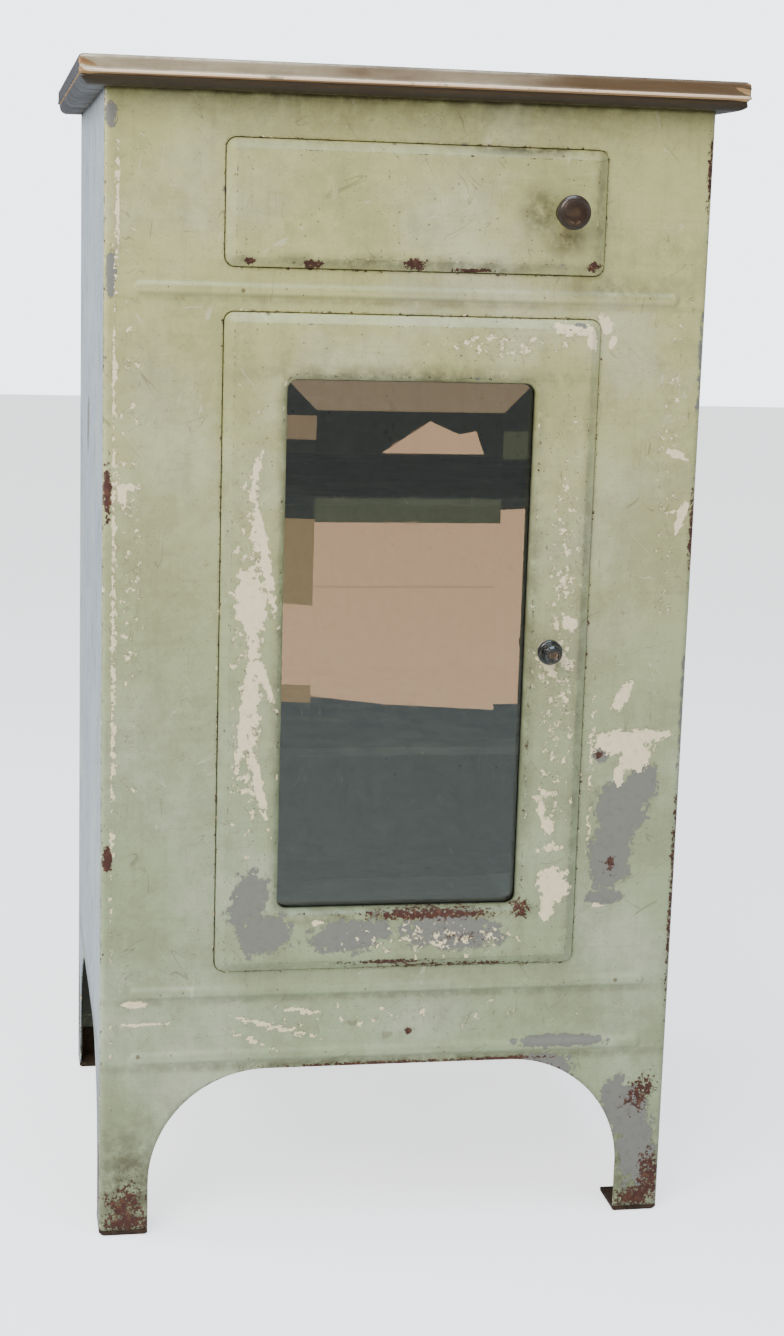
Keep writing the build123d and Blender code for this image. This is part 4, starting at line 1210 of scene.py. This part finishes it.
@dataclass
class TopCover:
    """The folded metal top: rounded edge, stained face, bead, hollow and a round underside band."""

    finish: Material
    node: str = "top_cover"
    corner: float = 4 * MM
    edge_radius: float = 3 * MM
    bead_drop: float = 11.5 * MM
    bead: float = 1.1 * MM
    hollow: float = 2.4 * MM
    band: float = 8 * MM
    underside: float = 40 * MM
    sheet: float = 0.8 * MM

    def rows(self, thickness: float) -> list[tuple[float, float, tuple[float, float, float]]]:
        """List the edge's profile from the top down: inset, drop, and shares of the bead's painted highlight,
        underside, rust.
        """
        listed = []
        for turn in np.radians(np.linspace(0, 90, 7)):
            inset = self.edge_radius * (1 - math.sin(turn)) + 0.5 * MM
            listed.append((inset, self.edge_radius * (1 - math.cos(turn)), (0.0, 0.0, 0.3)))
        for drop in np.linspace(self.edge_radius, self.bead_drop - self.bead, 5)[1:]:
            listed.append((0.5 * MM, drop, (0.0, 0.0, 0.28)))
        for turn in np.radians(np.linspace(0, 180, 9)[1:]):
            inset = 0.5 * MM - 0.5 * MM * math.sin(turn)
            drop = self.bead_drop - self.bead * math.cos(turn)
            listed.append((inset, drop, (math.sin(turn) ** 0.5, 0.0, 0.2)))
        listed.append((self.hollow, self.bead_drop + self.bead + 0.4 * MM, (0.0, 0.2, 0.9)))
        listed.append((self.hollow, self.bead_drop + self.bead + 1.1 * MM, (0.0, 0.6, 0.75)))
        start = self.bead_drop + self.bead + 1.3 * MM
        for turn in np.radians(np.linspace(0, 90, 8)):
            inset = 1.6 * MM + (self.band - 1.6 * MM) * (1 - math.cos(turn))
            drop = start + (thickness - start) * math.sin(turn)
            listed.append((inset, drop, (0.0, 1.0, 0.34)))
        listed.append((20 * MM, thickness, (0.0, 1.0, 0.4)))
        listed.append((self.underside, thickness, (0.0, 1.0, 0.4)))
        return listed

    def build(self) -> Object:
        """Make the top, knock its corners and dress it.

        Returns:
            The finished piece.
        """
        low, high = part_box(self.node)
        outline = RoundedBox((low.x, low.y), (high.x, high.y), self.corner)
        counts = (120, 110, 8)
        rows = self.rows(high.z - low.z)
        first = outline.grown(-rows[0][0]).loop(*counts)
        middle = np.array([(low.x + high.x) / 2, (low.y + high.y) / 2])
        reach = (high.x - low.x - high.y + low.y) / 2
        centre = np.stack([middle[0] + np.clip(first[:, 0] - middle[0], -reach, reach),
                           np.full(len(first), middle[1])], 1)
        loops = [(centre + (first - centre) * share, high.z) for share in np.linspace(0, 1, 40)[:-1]]
        loops += [(outline.grown(-inset).loop(*counts), high.z - drop) for inset, drop, _ in rows]
        grid = np.empty((len(loops), len(first), 3))
        for number, (loop, height) in enumerate(loops):
            grid[number, :, :2], grid[number, :, 2] = loop, height
        made = joined_mesh("folded_top_cover", [Patch(grid, around=True)], Vector((0, 0, 1)))
        points = read_points(made)
        x, y, z = points.T
        self.store_zones(made, rows, high.z - z, -outline.distance(x, y))
        near = np.exp(-((np.abs(x) - high.x) / (14 * MM)) ** 2 - ((y - low.y) / (14 * MM)) ** 2)
        knock = near * (0.5 + 0.5 * np.sin(900 * z + 260 * x)) * 1.6 * MM
        points[:, 0] -= np.sign(x) * knock
        points[:, 1] += knock * 0.8
        dip = ripple(2 * x, 2 * y, 0.8 * MM) * np.clip(-outline.distance(x, y) / (30 * MM), 0, 1)
        points[:, 2] -= np.where(z > high.z - 0.1 * MM, dip, 0)
        write_points(made, points)
        thicken(made, self.sheet)
        return hand_over(made, self.finish, self.node, "cabinet")

    def store_zones(self, made: Object, rows: list, drop: np.ndarray, inset: np.ndarray) -> None:
        """Store the shares of the bead's painted highlight, underside and rust, read along the profile by its
        length.
        """
        profile = np.array([[row[0], row[1]] for row in rows])
        shares = np.array([row[2] for row in rows])
        here = np.stack([inset, drop], 1)
        nearest = np.argmin(((here[:, None, :] - profile[None]) ** 2).sum(-1), axis=1)
        colours = np.ones((len(drop), 4), np.float32)
        colours[:, :3] = shares[nearest]
        colours[drop < 0.05 * MM, :3] = (0.0, 0.0, 0.36)
        made.data.attributes.new("wear_and_highlight", "FLOAT_COLOR", "POINT").data.foreach_set("color", colours.ravel())
        points = read_points(made)
        low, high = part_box(self.node)
        from_front = points[:, 1] - low.y
        from_ends = np.minimum(points[:, 0] - low.x, high.x - points[:, 0])
        ends = (from_ends + 0.3 * MM < from_front) & (from_ends < 9 * MM) & (drop > self.edge_radius / 12)
        write_numbers(made, "grime_shade_and_ends", ends.astype(float))


@dataclass
class TurnedKnob:
    """A knob turned about a line that runs straight back into its front."""

    name: str
    node: str
    body: str
    slot: str
    finish: Material
    profile: list[tuple[float, float]]
    around: int = 96

    def build(self) -> Object:
        """Turn the profile, given as radius and distance from the tip, about the knob's line.

        Returns:
            The finished piece.
        """
        low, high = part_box(self.node)
        centre_x, centre_z = (low.x + high.x) / 2, (low.z + high.z) / 2
        outline = smooth_line(np.array(self.profile) * MM, 6)
        turn = np.linspace(0, 2 * math.pi, self.around, endpoint=False)
        grid = np.empty((len(outline), self.around, 3))
        grid[..., 0] = centre_x + outline[:, :1] * np.cos(turn)
        grid[..., 1] = low.y + outline[:, 1:2]
        grid[..., 2] = centre_z + outline[:, :1] * np.sin(turn)
        made = joined_mesh(self.name, [Patch(grid, around=True)], Vector((0, -1, 0)))
        return hand_over(made, self.finish, self.node, self.body)


def smooth_line(corners: np.ndarray, per_corner: int) -> np.ndarray:
    """Round the corners of a line: each is a short curve between points a third along its sides.

    Args:
        corners: The line's corners, two numbers each.
        per_corner: Steps round each corner.

    Returns:
        The rounded line's points.
    """
    parts = [corners[:1]]
    share = np.linspace(0, 1, per_corner)[:, None]
    for before, here, after in zip(corners[:-2], corners[1:-1], corners[2:]):
        start, end = here + (before - here) * 0.33, here + (after - here) * 0.33
        parts.append((1 - share) ** 2 * start + 2 * share * (1 - share) * here + share**2 * end)
    parts.append(corners[-1:])
    return np.concatenate(parts)


# ---------------------------------------------------------------- damage and painted shade, piece by piece

# Rows of the dirt-and-shade kind: the bands just under the top cover are painted shade with some dirt, the
# lines just under the two ribs are painted shade, and the patches by the feet are dirt.
PANEL_SPOTS = spots(
    (P, -220.3, 530, 2.6, 400, 0, 0.62), (P, -208, 560, 15, 330, 0, 0.36),
    (P, 206, 600, 17, 220, 0, 0.37), (P, 0, 172, 210, 22, 0, 0.34), (GS, 0, 874, 250, 14, 0, 0.34),
    (P, -219, 800, 2.4, 50, 0, 0.7), (P, -219.5, 420, 2.4, 60, 0, 0.72), (U, -223.6, 861, 4.5, 9),
    (U, -223.4, 750, 4, 17), (R, -225.4, 591, 4, 30, 0, 0.7), (R, -223.9, 308, 4, 10),
    (P, -209, 594, 12, 2.2), (P, -214, 588, 2.6, 8), (P, 180, 396, 26, 10, 4),
    (P, 205, 401, 16, 4, 6, 0.9), (P, 190, 385, 13, 14, -30), (P, 178, 370, 5, 9), (U, 162, 386, 6, 7),
    (U, 196, 360, 13, 19, -12), (U, 180, 340, 21, 24, 10), (U, 174, 305, 17, 29, -4),
    (U, 170, 270, 15, 7), (P, 165, 263, 9, 1.8, 0, 0.85), (R, 174, 296, 8, 10, 0, 0.56),
    (R, 160, 386, 5, 4, 0, 0.8), (P, 154.8, 379, 2.2, 105, 0, 0.66), (P, 211, 623.5, 12.5, 2.6, -22),
    (P, 217.5, 576, 3.4, 15, -18), (P, 177.7, 433, 5, 14, -28), (P, -94, 170, 48, 2.6, -16, 0.74),
    (P, -112, 160, 30, 2.4, -24, 0.7), (P, -70, 182, 24, 2.4, -10, 0.66), (P, -202.9, 191.4, 10, 3.2),
    (P, -197.7, 175, 23, 2.2, 0, 0.75), (P, 81.2, 186.1, 2.2, 2.2), (R, 14.5, 162.4, 3.2, 3.2),
    (U, 138, 150.5, 36, 5), (U, 127, 130, 24, 11, -8), (U, 196, 90, 18, 26, 30), (U, 208, 55, 15, 32),
    (R, 209, 103, 15, 23, -30, 0.6), (R, 219, 30, 11, 30, 0, 0.68), (R, 208, 12, 24, 12, 0, 0.66),
    (GS, 205, 40, 30, 40, 0, 0.8), (GS, -206, 40, 26, 45, 0, 1), (R, -208, 25, 22, 26, 0, 0.6),
    (R, -208, 11, 26, 10, 0, 0.68), (R, 226.2, 835, 3.4, 40, 0, 0.62), (R, 226.2, 565, 3.4, 50, 0, 0.6),
    (U, 226.2, 690, 3, 60, 0, 0.58), (U, 226.2, 420, 3, 70, 0, 0.58), (R, 226.2, 270, 3.4, 120, 0, 0.6),
    (GS, 0, 138.5, 180, 4, 0, 0.9), (R, -20, 136.6, 100, 2.4, 0, 0.62), (R, 90, 136.6, 50, 2.4, 0, 0.66),
    (GS, 0, 880.5, 250, 4, 0, 0.8), (GS, 160, 748, 45, 9, 0, 0.6), (P, 150, 722, 5.5, 8.5, 24),
    (P, 156, 708, 3, 6, -20), (GS, 0, 193, 220, 3, 0, 0.6), (GS, 0, 733, 220, 2.6, 0, 0.5),
)

# Rows of the dirt-and-shade kind: the strip down the right band is a painted shadow line.
DOOR_SPOTS = spots(
    (P, 123, 470, 20, 250, 0, 0.44), (P, 70, 704, 70, 14, 0, 0.46), (P, 30, 240, 110, 22, 0, 0.42),
    (P, -124, 470, 15, 250, 0, 0.4), (P, -115, 470, 8, 165, 0, 0.66), (P, -118, 507, 12, 28, 6),
    (P, -108, 545, 4.5, 50, 10, 0.85), (P, -121, 420, 6, 52, -7, 0.8), (P, -110, 370, 5, 42, 12, 0.78),
    (P, -116, 600, 4, 35, -10, 0.7), (P, -107, 450, 3.5, 28, 22, 0.8), (U, -116, 276, 15, 24, -18),
    (U, -103, 247, 21, 16, 14), (P, -62, 256, 6, 3, 0, 0.8), (R, 55, 243, 30, 9, 0, 0.44),
    (R, -6, 223, 50, 3, 0, 0.6), (U, -35, 245, 33, 13.5, 6), (U, 45, 246, 45, 13, -4),
    (R, 29, 261, 70, 6, 0, 0.66), (R, 101, 264, 9.5, 10, 40, 0.66), (R, 47, 218.5, 95, 3.6, 0, 0.56),
    (P, 118, 356, 11, 1.8, 14, 0.9), (P, 114, 344, 3.5, 10, 6, 0.85), (P, 120, 330, 8, 7.5, -8, 0.68),
    (P, 124, 312, 11, 5, 0, 0.72), (P, 127, 282, 13, 15, 12), (P, 122, 265, 6, 11),
    (P, 116.5, 464, 17, 26, -8, 0.6), (P, 130, 492, 6, 6), (P, 120, 716.5, 14, 5, -8, 0.9),
    (P, 138, 710, 5, 11, 16, 0.9), (U, 129, 719, 6, 3), (GS, 2.5, 679, 100, 7, 0, 0.75),
    (GS, 2.5, 261, 100, 5.5, 0, 0.75), (GS, -95, 470, 5, 210, 0, 0.55), (GS, 100, 470, 5, 210, 0, 0.55),
    (GS, 0, 220, 150, 6, 0, 0.4), (GS, 140, 470, 5, 250, 0, 0.5),
)

# Rows of the dirt-and-shade kind: the strip down the right band is a painted shadow line.
DRAWER_SPOTS = spots(
    (R, -76, 760, 10.5, 3.6, 0, 0.72), (R, 0, 762, 11.5, 5, 0, 0.74), (R, 137, 763.6, 7.5, 5, 0, 0.66),
    (R, -123, 761, 4, 3, 0, 0.8), (R, 45, 758.5, 20, 2, 0, 0.75), (GS, 90, 848, 50, 4, 0, 1),
    (GS, 95, 803, 13, 15, 0, 0.95), (GS, 114, 784, 13, 11, 0, 0.9), (GS, 0, 762, 140, 5, 0, 0.7),
    (GS, 140, 803, 5, 45, 0, 0.7),
)

# Rows of the dirt-and-shade kind: the band just under the top is painted shade; the patches by the foot are
# dirt.
SIDE_SPOTS = spots(
    (U, 50, 620, 20, 30, 20, 0.8), (R, -170, 40, 30, 50, 0, 0.62), (R, 190, 50, 22, 70, 0, 0.62),
    (GS, 0, 880, 250, 12, 0, 0.8), (GS, 0, 140, 250, 10, 0, 0.7), (GS, -180, 60, 40, 70, 0, 0.8),
    (P, -150, 400, 4, 80, 0, 0.7), (P, 100, 300, 40, 3, 12, 0.7),
)

DRAWER_KNOB_PROFILE = [
    (0.0, 0.0), (3.6, 0.08), (6.4, 0.35), (8.6, 0.85), (9.2, 1.15), (9.9, 1.1), (11.4, 1.9), (12.5, 3.0),
    (12.75, 4.2), (12.75, 6.6), (12.2, 7.8), (10.6, 8.8), (7.4, 9.6), (6.2, 11.0),
    (6.0, 14.5), (6.2, 18.6), (7.6, 20.6), (9.0, 22.2), (9.0, 25.0), (0.0, 25.0),
]

DOOR_KNOB_PROFILE = [
    (0.0, 0.8), (3.4, 0.8), (4.2, 0.2), (4.8, 0.0), (5.4, 0.2), (6.1, 1.0), (6.9, 1.7), (7.2, 2.8),
    (7.2, 8.9), (7.5, 9.6), (8.4, 9.8), (9.5, 10.6), (9.8, 11.6), (9.8, 14.2), (9.2, 14.9), (0.0, 14.9),
]

COLLAR_PROFILE = [
    (3.3, 0.4), (7.6, 0.2), (8.6, 0.5), (9.2, 1.3), (9.2, 2.5), (5.0, 2.5), (5.0, 12.0), (3.3, 12.0),
    (3.3, 0.4),
]


# ---------------------------------------------------------------- stage, light and camera


def plain(name: str, colour: Colour, glow: float = 0.0) -> Material:
    """Make a plain dull or glowing stage material.

    Args:
        name: Its name.
        colour: Its colour.
        glow: How strongly it gives light.

    Returns:
        The material.
    """
    made, _, shader = new_finish(name)
    shader.inputs["Base Color"].default_value = (*colour, 1.0)
    shader.inputs["Roughness"].default_value = 0.9
    shader.inputs["Emission Color"].default_value = (*colour, 1.0)
    shader.inputs["Emission Strength"].default_value = glow
    return made


def card(name: str, corners: list[tuple[float, float, float]], finish: Material,
         only_reflected: bool = True) -> Object:
    """Make one flat stage card from its corners.

    Args:
        name: Its name.
        corners: Its corners in order.
        finish: Its material.
        only_reflected: Whether it shows in reflections alone.

    Returns:
        The card.
    """
    mesh = bpy.data.meshes.new(name)
    mesh.from_pydata(corners, [], [tuple(range(len(corners)))])
    made = bpy.data.objects.new(name, mesh)
    bpy.context.scene.collection.objects.link(made)
    made.data.materials.append(finish)
    if only_reflected:
        made.visible_camera = False
        made.visible_diffuse = False
        made.visible_transmission = False
        made.visible_shadow = False
    return made


@dataclass
class Studio:
    """The pale floor, the soft lights, the glowing cards that paint the glass's reflections, and the camera."""

    front: float
    back_off: float = 1.652
    left_off: float = 0.3131
    eye_height: float = 0.7794
    turn: float = 0.1831
    dip: float = 0.1899
    roll: float = 0.0301
    lens: float = 60.02
    screen_off: float = 0.9
    key_power: float = 80.0
    sky: Colour = (0.88, 0.93, 1.0)
    sky_strength: float = 0.50
    seen_sky: float = 3.4
    seen_floor: float = 1.5

    def screen(self, name: str, corners: tuple, finish: Material, nearer: float = 0.0) -> None:
        """Hang one many-cornered card on the upright plane that the glass mirrors.

        Args:
            name: The card's name.
            corners: Its corners as places across and up.
            finish: Its material.
            nearer: How far it hangs in front of that plane.
        """
        card(name, [(x, self.front - self.screen_off + nearer, z) for x, z in corners], finish)

    def glowing_reflection_cards(self) -> None:
        """Hang what the door's glass mirrors as glowing cards seen only in reflections: a painted reflection of
        a sunlit yard, not lamps. The glass's plain middle and each bevel see parts of their own.
        """
        # The cards glow with the yard's painted light and shade: bright for sunlit ground, dim for hedge and
        # yard.
        dark = plain("dark yard", (0.30, 0.30, 0.26), 0.03)
        slate = plain("slate ground", (0.50, 0.56, 0.50), 0.14)
        tan = plain("sunlit ground", (1.0, 0.64, 0.37), 5.9)
        dim_tan = plain("line on the ground", (1.0, 0.64, 0.37), 4.4)
        olive = plain("shaded grass", (1.0, 0.70, 0.33), 1.9)
        brown = plain("brown wall", (1.0, 0.70, 0.40), 1.55)
        gloom = plain("dark hedge", (0.60, 0.62, 0.36), 0.45)
        panes = (
            ("yard", dark, 0, -1.2, 0.0, 1.8, 1.2), ("low_ground", slate, 2, -0.4, 0.0, 0.8, 0.30),
            ("ground_line", dim_tan, 6, 0.04, 0.3765, 0.28, 0.379),
            ("hedge", gloom, 4, 0.04, 0.4535, 0.32, 0.482),
            ("upper_wall", brown, 4, -0.05, 0.74, 0.42, 0.88),
            ("left_wall", brown, 4, -0.22, 0.550, -0.08, 0.578),
            ("left_grass", olive, 4, -0.22, 0.356, -0.08, 0.458),
            ("left_strip", olive, 4, -0.22, 0.240, -0.08, 0.261),
            ("right_hedge", gloom, 4, 0.44, 0.522, 0.62, 0.556),
        )
        for name, finish, nearer, x0, z0, x1, z1 in panes:
            self.screen(name, ((x0, z0), (x1, z0), (x1, z1), (x0, z1)), finish, nearer * MM)
        sunlit = {
            "sunlit_middle": ((0.04, 0.249), (0.154, 0.236), (0.32, 0.226), (0.32, 0.4535), (0.04, 0.4535)),
            "sunlit_gap": ((0.140, 0.535), (0.262, 0.535), (0.252, 0.562), (0.232, 0.558), (0.212, 0.566),
                           (0.197, 0.573), (0.171, 0.556)),
            "left_ground": ((-0.22, 0.261), (-0.08, 0.261), (-0.08, 0.354), (-0.22, 0.360)),
            "right_ground": ((0.44, 0.222), (0.62, 0.216), (0.62, 0.463), (0.44, 0.460)),
        }
        for name, corners in sunlit.items():
            self.screen(name, corners, tan, 4 * MM)
        near, far, half = 0.2, self.screen_off, 1.0
        card("near_ground", [(-half, self.front - far, MM), (half, self.front - far, MM),
                             (half, self.front - near, MM), (-half, self.front - near, MM)], slate)

    def build(self) -> None:
        """Set the whole stage."""
        pale, wiring, shader = new_finish("pale floor")
        shader.inputs["Base Color"].default_value = (0.80, 0.80, 0.80, 1.0)
        shader.inputs["Roughness"].default_value = 0.9
        shader.inputs["Emission Color"].default_value = (0.97, 0.98, 1.0, 1.0)
        seen = wiring.node("ShaderNodeLightPath").outputs["Is Camera Ray"]
        wiring.feed(shader.inputs["Emission Strength"], wiring.times(seen, self.seen_floor))
        card("floor", [(-9, -9, 0), (9, -9, 0), (9, 9, 0), (-9, 9, 0)], pale, only_reflected=False)
        self.glowing_reflection_cards()
        world = bpy.data.worlds.new("soft daylight")
        world.use_nodes = True
        sky = world.node_tree.nodes["Background"]
        sky.inputs["Color"].default_value = (*self.sky, 1.0)
        wiring = Wiring(world.node_tree)
        seen = wiring.node("ShaderNodeLightPath").outputs["Is Camera Ray"]
        extra = wiring.times(seen, self.seen_sky)
        wiring.feed(sky.inputs["Strength"], wiring.plus(extra, self.sky_strength))
        bpy.context.scene.world = world
        self.soft_light("key", (-1.6, self.front - 2.0, 2.3), 1.8, self.key_power, (1.0, 0.97, 0.92))
        self.soft_light("fill", (2.2, self.front - 1.2, 1.4), 1.6, self.key_power * 0.12, (0.9, 0.95, 1.0))
        self.soft_light("overhead", (0.0, self.front - 0.5, 2.6), 1.4, self.key_power * 0.62, (0.64, 0.82, 1.0))
        self.soft_light("left", (-2.4, 0.3, 1.5), 1.4, self.key_power * 0.66, (0.9, 0.95, 1.0))
        self.camera()

    def soft_light(self, name: str, place: tuple, size: float, power: float, colour: Colour) -> None:
        """Hang one large square light that looks at the cabinet's middle."""
        data = bpy.data.lights.new(name, "AREA")
        data.size, data.energy, data.color = size, power, colour
        lamp = bpy.data.objects.new(name, data)
        bpy.context.scene.collection.objects.link(lamp)
        aim = Vector((0, 0, 0.5)) - Vector(place)
        lamp.matrix_world = Matrix.Translation(place) @ aim.to_track_quat("-Z", "Y").to_matrix().to_4x4()

    def camera(self) -> None:
        """Stand the camera in front and to the left, turned, dipped and slightly rolled."""
        ahead = Vector((math.sin(self.turn) * math.cos(self.dip), math.cos(self.turn) * math.cos(self.dip),
                        -math.sin(self.dip)))
        right = Vector((math.cos(self.turn), -math.sin(self.turn), 0))
        up = right.cross(ahead)
        right, up = (math.cos(self.roll) * right + math.sin(self.roll) * up,
                     math.cos(self.roll) * up - math.sin(self.roll) * right)
        data = bpy.data.cameras.new("camera")
        data.lens, data.sensor_fit, data.sensor_width, data.sensor_height = self.lens, "AUTO", 36.0, 36.0
        made = bpy.data.objects.new("camera", data)
        bpy.context.scene.collection.objects.link(made)
        spin = Matrix((right, up, -ahead)).transposed().to_4x4()
        place = (-self.left_off, self.front - self.back_off, self.eye_height)
        made.matrix_world = Matrix.Translation(place) @ spin
        bpy.context.scene.camera = made


# ---------------------------------------------------------------- putting it together


def dress_frame(finishes: dict[str, Material]) -> int:
    """Give every CAD node that is still shown the finish of its material slot.

    Args:
        finishes: Material slot to finish.

    Returns:
        How many nodes were dressed.
    """
    count = 0
    for row in frame["record"]["subparts"]:
        node = frame["nodes"][row["node"]]
        if node.hide_render:
            continue
        node.data.materials.clear()
        node.data.materials.append(finishes[row["material_slot"]])
        count += 1
    return count


def main() -> None:
    """Build the pieces in order, dress the frame and set the stage."""
    green = Enamel("green enamel", shade(152, 162, 124), shade(182, 178, 118)).material()
    # The left side's blue-grey tones are a painted reflection of the sky on its green enamel; its checks and
    # dirt are its own.
    sky_reflecting_side = Enamel(
        "side enamel with painted sky reflection", shade(160, 170, 178), shade(170, 180, 188), dirt=shade(120, 122, 122), checks=0.86,
        roughness=0.5,
    ).material()
    inner = Enamel("inner enamel", shade(60, 64, 56), shade(52, 56, 48), roughness=0.6).material()
    shelf = Enamel(
        "shelf enamel", shade(44, 46, 42), shade(44, 46, 42), primer=shade(60, 60, 54), roughness=0.6,
    )
    brown = WornMetal("brown knob", shade(56, 39, 29), shade(32, 22, 16), 0.25, 0.32, 90.0, 0.8, coat=0.3)
    black = WornMetal("black knob", shade(16, 17, 20), shade(24, 24, 26), 0.0, 0.16, 90.0, 0.3, coat=0.6)
    ring = WornMetal("chipped collar", shade(214, 186, 170), shade(70, 54, 46), 0.1, 0.5, 120.0, 0.9)
    steel = WornMetal("bare steel", shade(150, 146, 140), shade(96, 76, 58), 1.0, 0.36)
    foot = WornMetal("foot iron", shade(70, 52, 38), shade(42, 30, 22), 0.3, 0.7, 60.0, 0.8, 0.3 * MM)
    seal = WornMetal("glazing seal", shade(30, 28, 26), shade(48, 42, 36), 0.0, 0.8)
    finishes = {
        "green_enamel": green, "inner_enamel": inner, "shelf_enamel": shelf.material(),
        "foot_iron": foot.material(), "top_metal": TopMetal().material(),
        "board": RawBoard().material(), "bare_steel": steel.material(),
        "glass": PlateGlass().material(), "seal": seal.material(), "brown_knob": brown.material(),
        "black_knob": black.material(),
    }
    pieces = [
        FrontPanel(green, PANEL_SPOTS),
        SidePanel(-1, sky_reflecting_side, SIDE_SPOTS),
        SidePanel(1, green, SIDE_SPOTS),
        PressedFront("pressed_drawer_front", "drawer_front", "drawer", green, DRAWER_SPOTS),
        PressedFront("pressed_door_pan", "door_pan", "door", green, DOOR_SPOTS, glass="door_glass"),
        TopCover(finishes["top_metal"]),
        TurnedKnob("turned_drawer_knob", "drawer_knob", "drawer", "brown_knob", finishes["brown_knob"],
                   DRAWER_KNOB_PROFILE),
        TurnedKnob("turned_door_knob", "door_knob", "latch", "black_knob", finishes["black_knob"],
                   DOOR_KNOB_PROFILE),
        TurnedKnob("knob_ring", "knob_collar", "door", "black_knob", ring.material(), COLLAR_PROFILE),
    ]
    for piece in pieces:
        made = piece.build()
        LOG.info("%s: %d faces", made.name, len(made.data.polygons))
    LOG.info("CAD nodes dressed: %d", dress_frame(finishes))
    Studio(front=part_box("front_panel")[0].y + FrontPanel.rib_height).build()


if __name__ == "__main__":
    logging.basicConfig(level=logging.INFO)
    main()
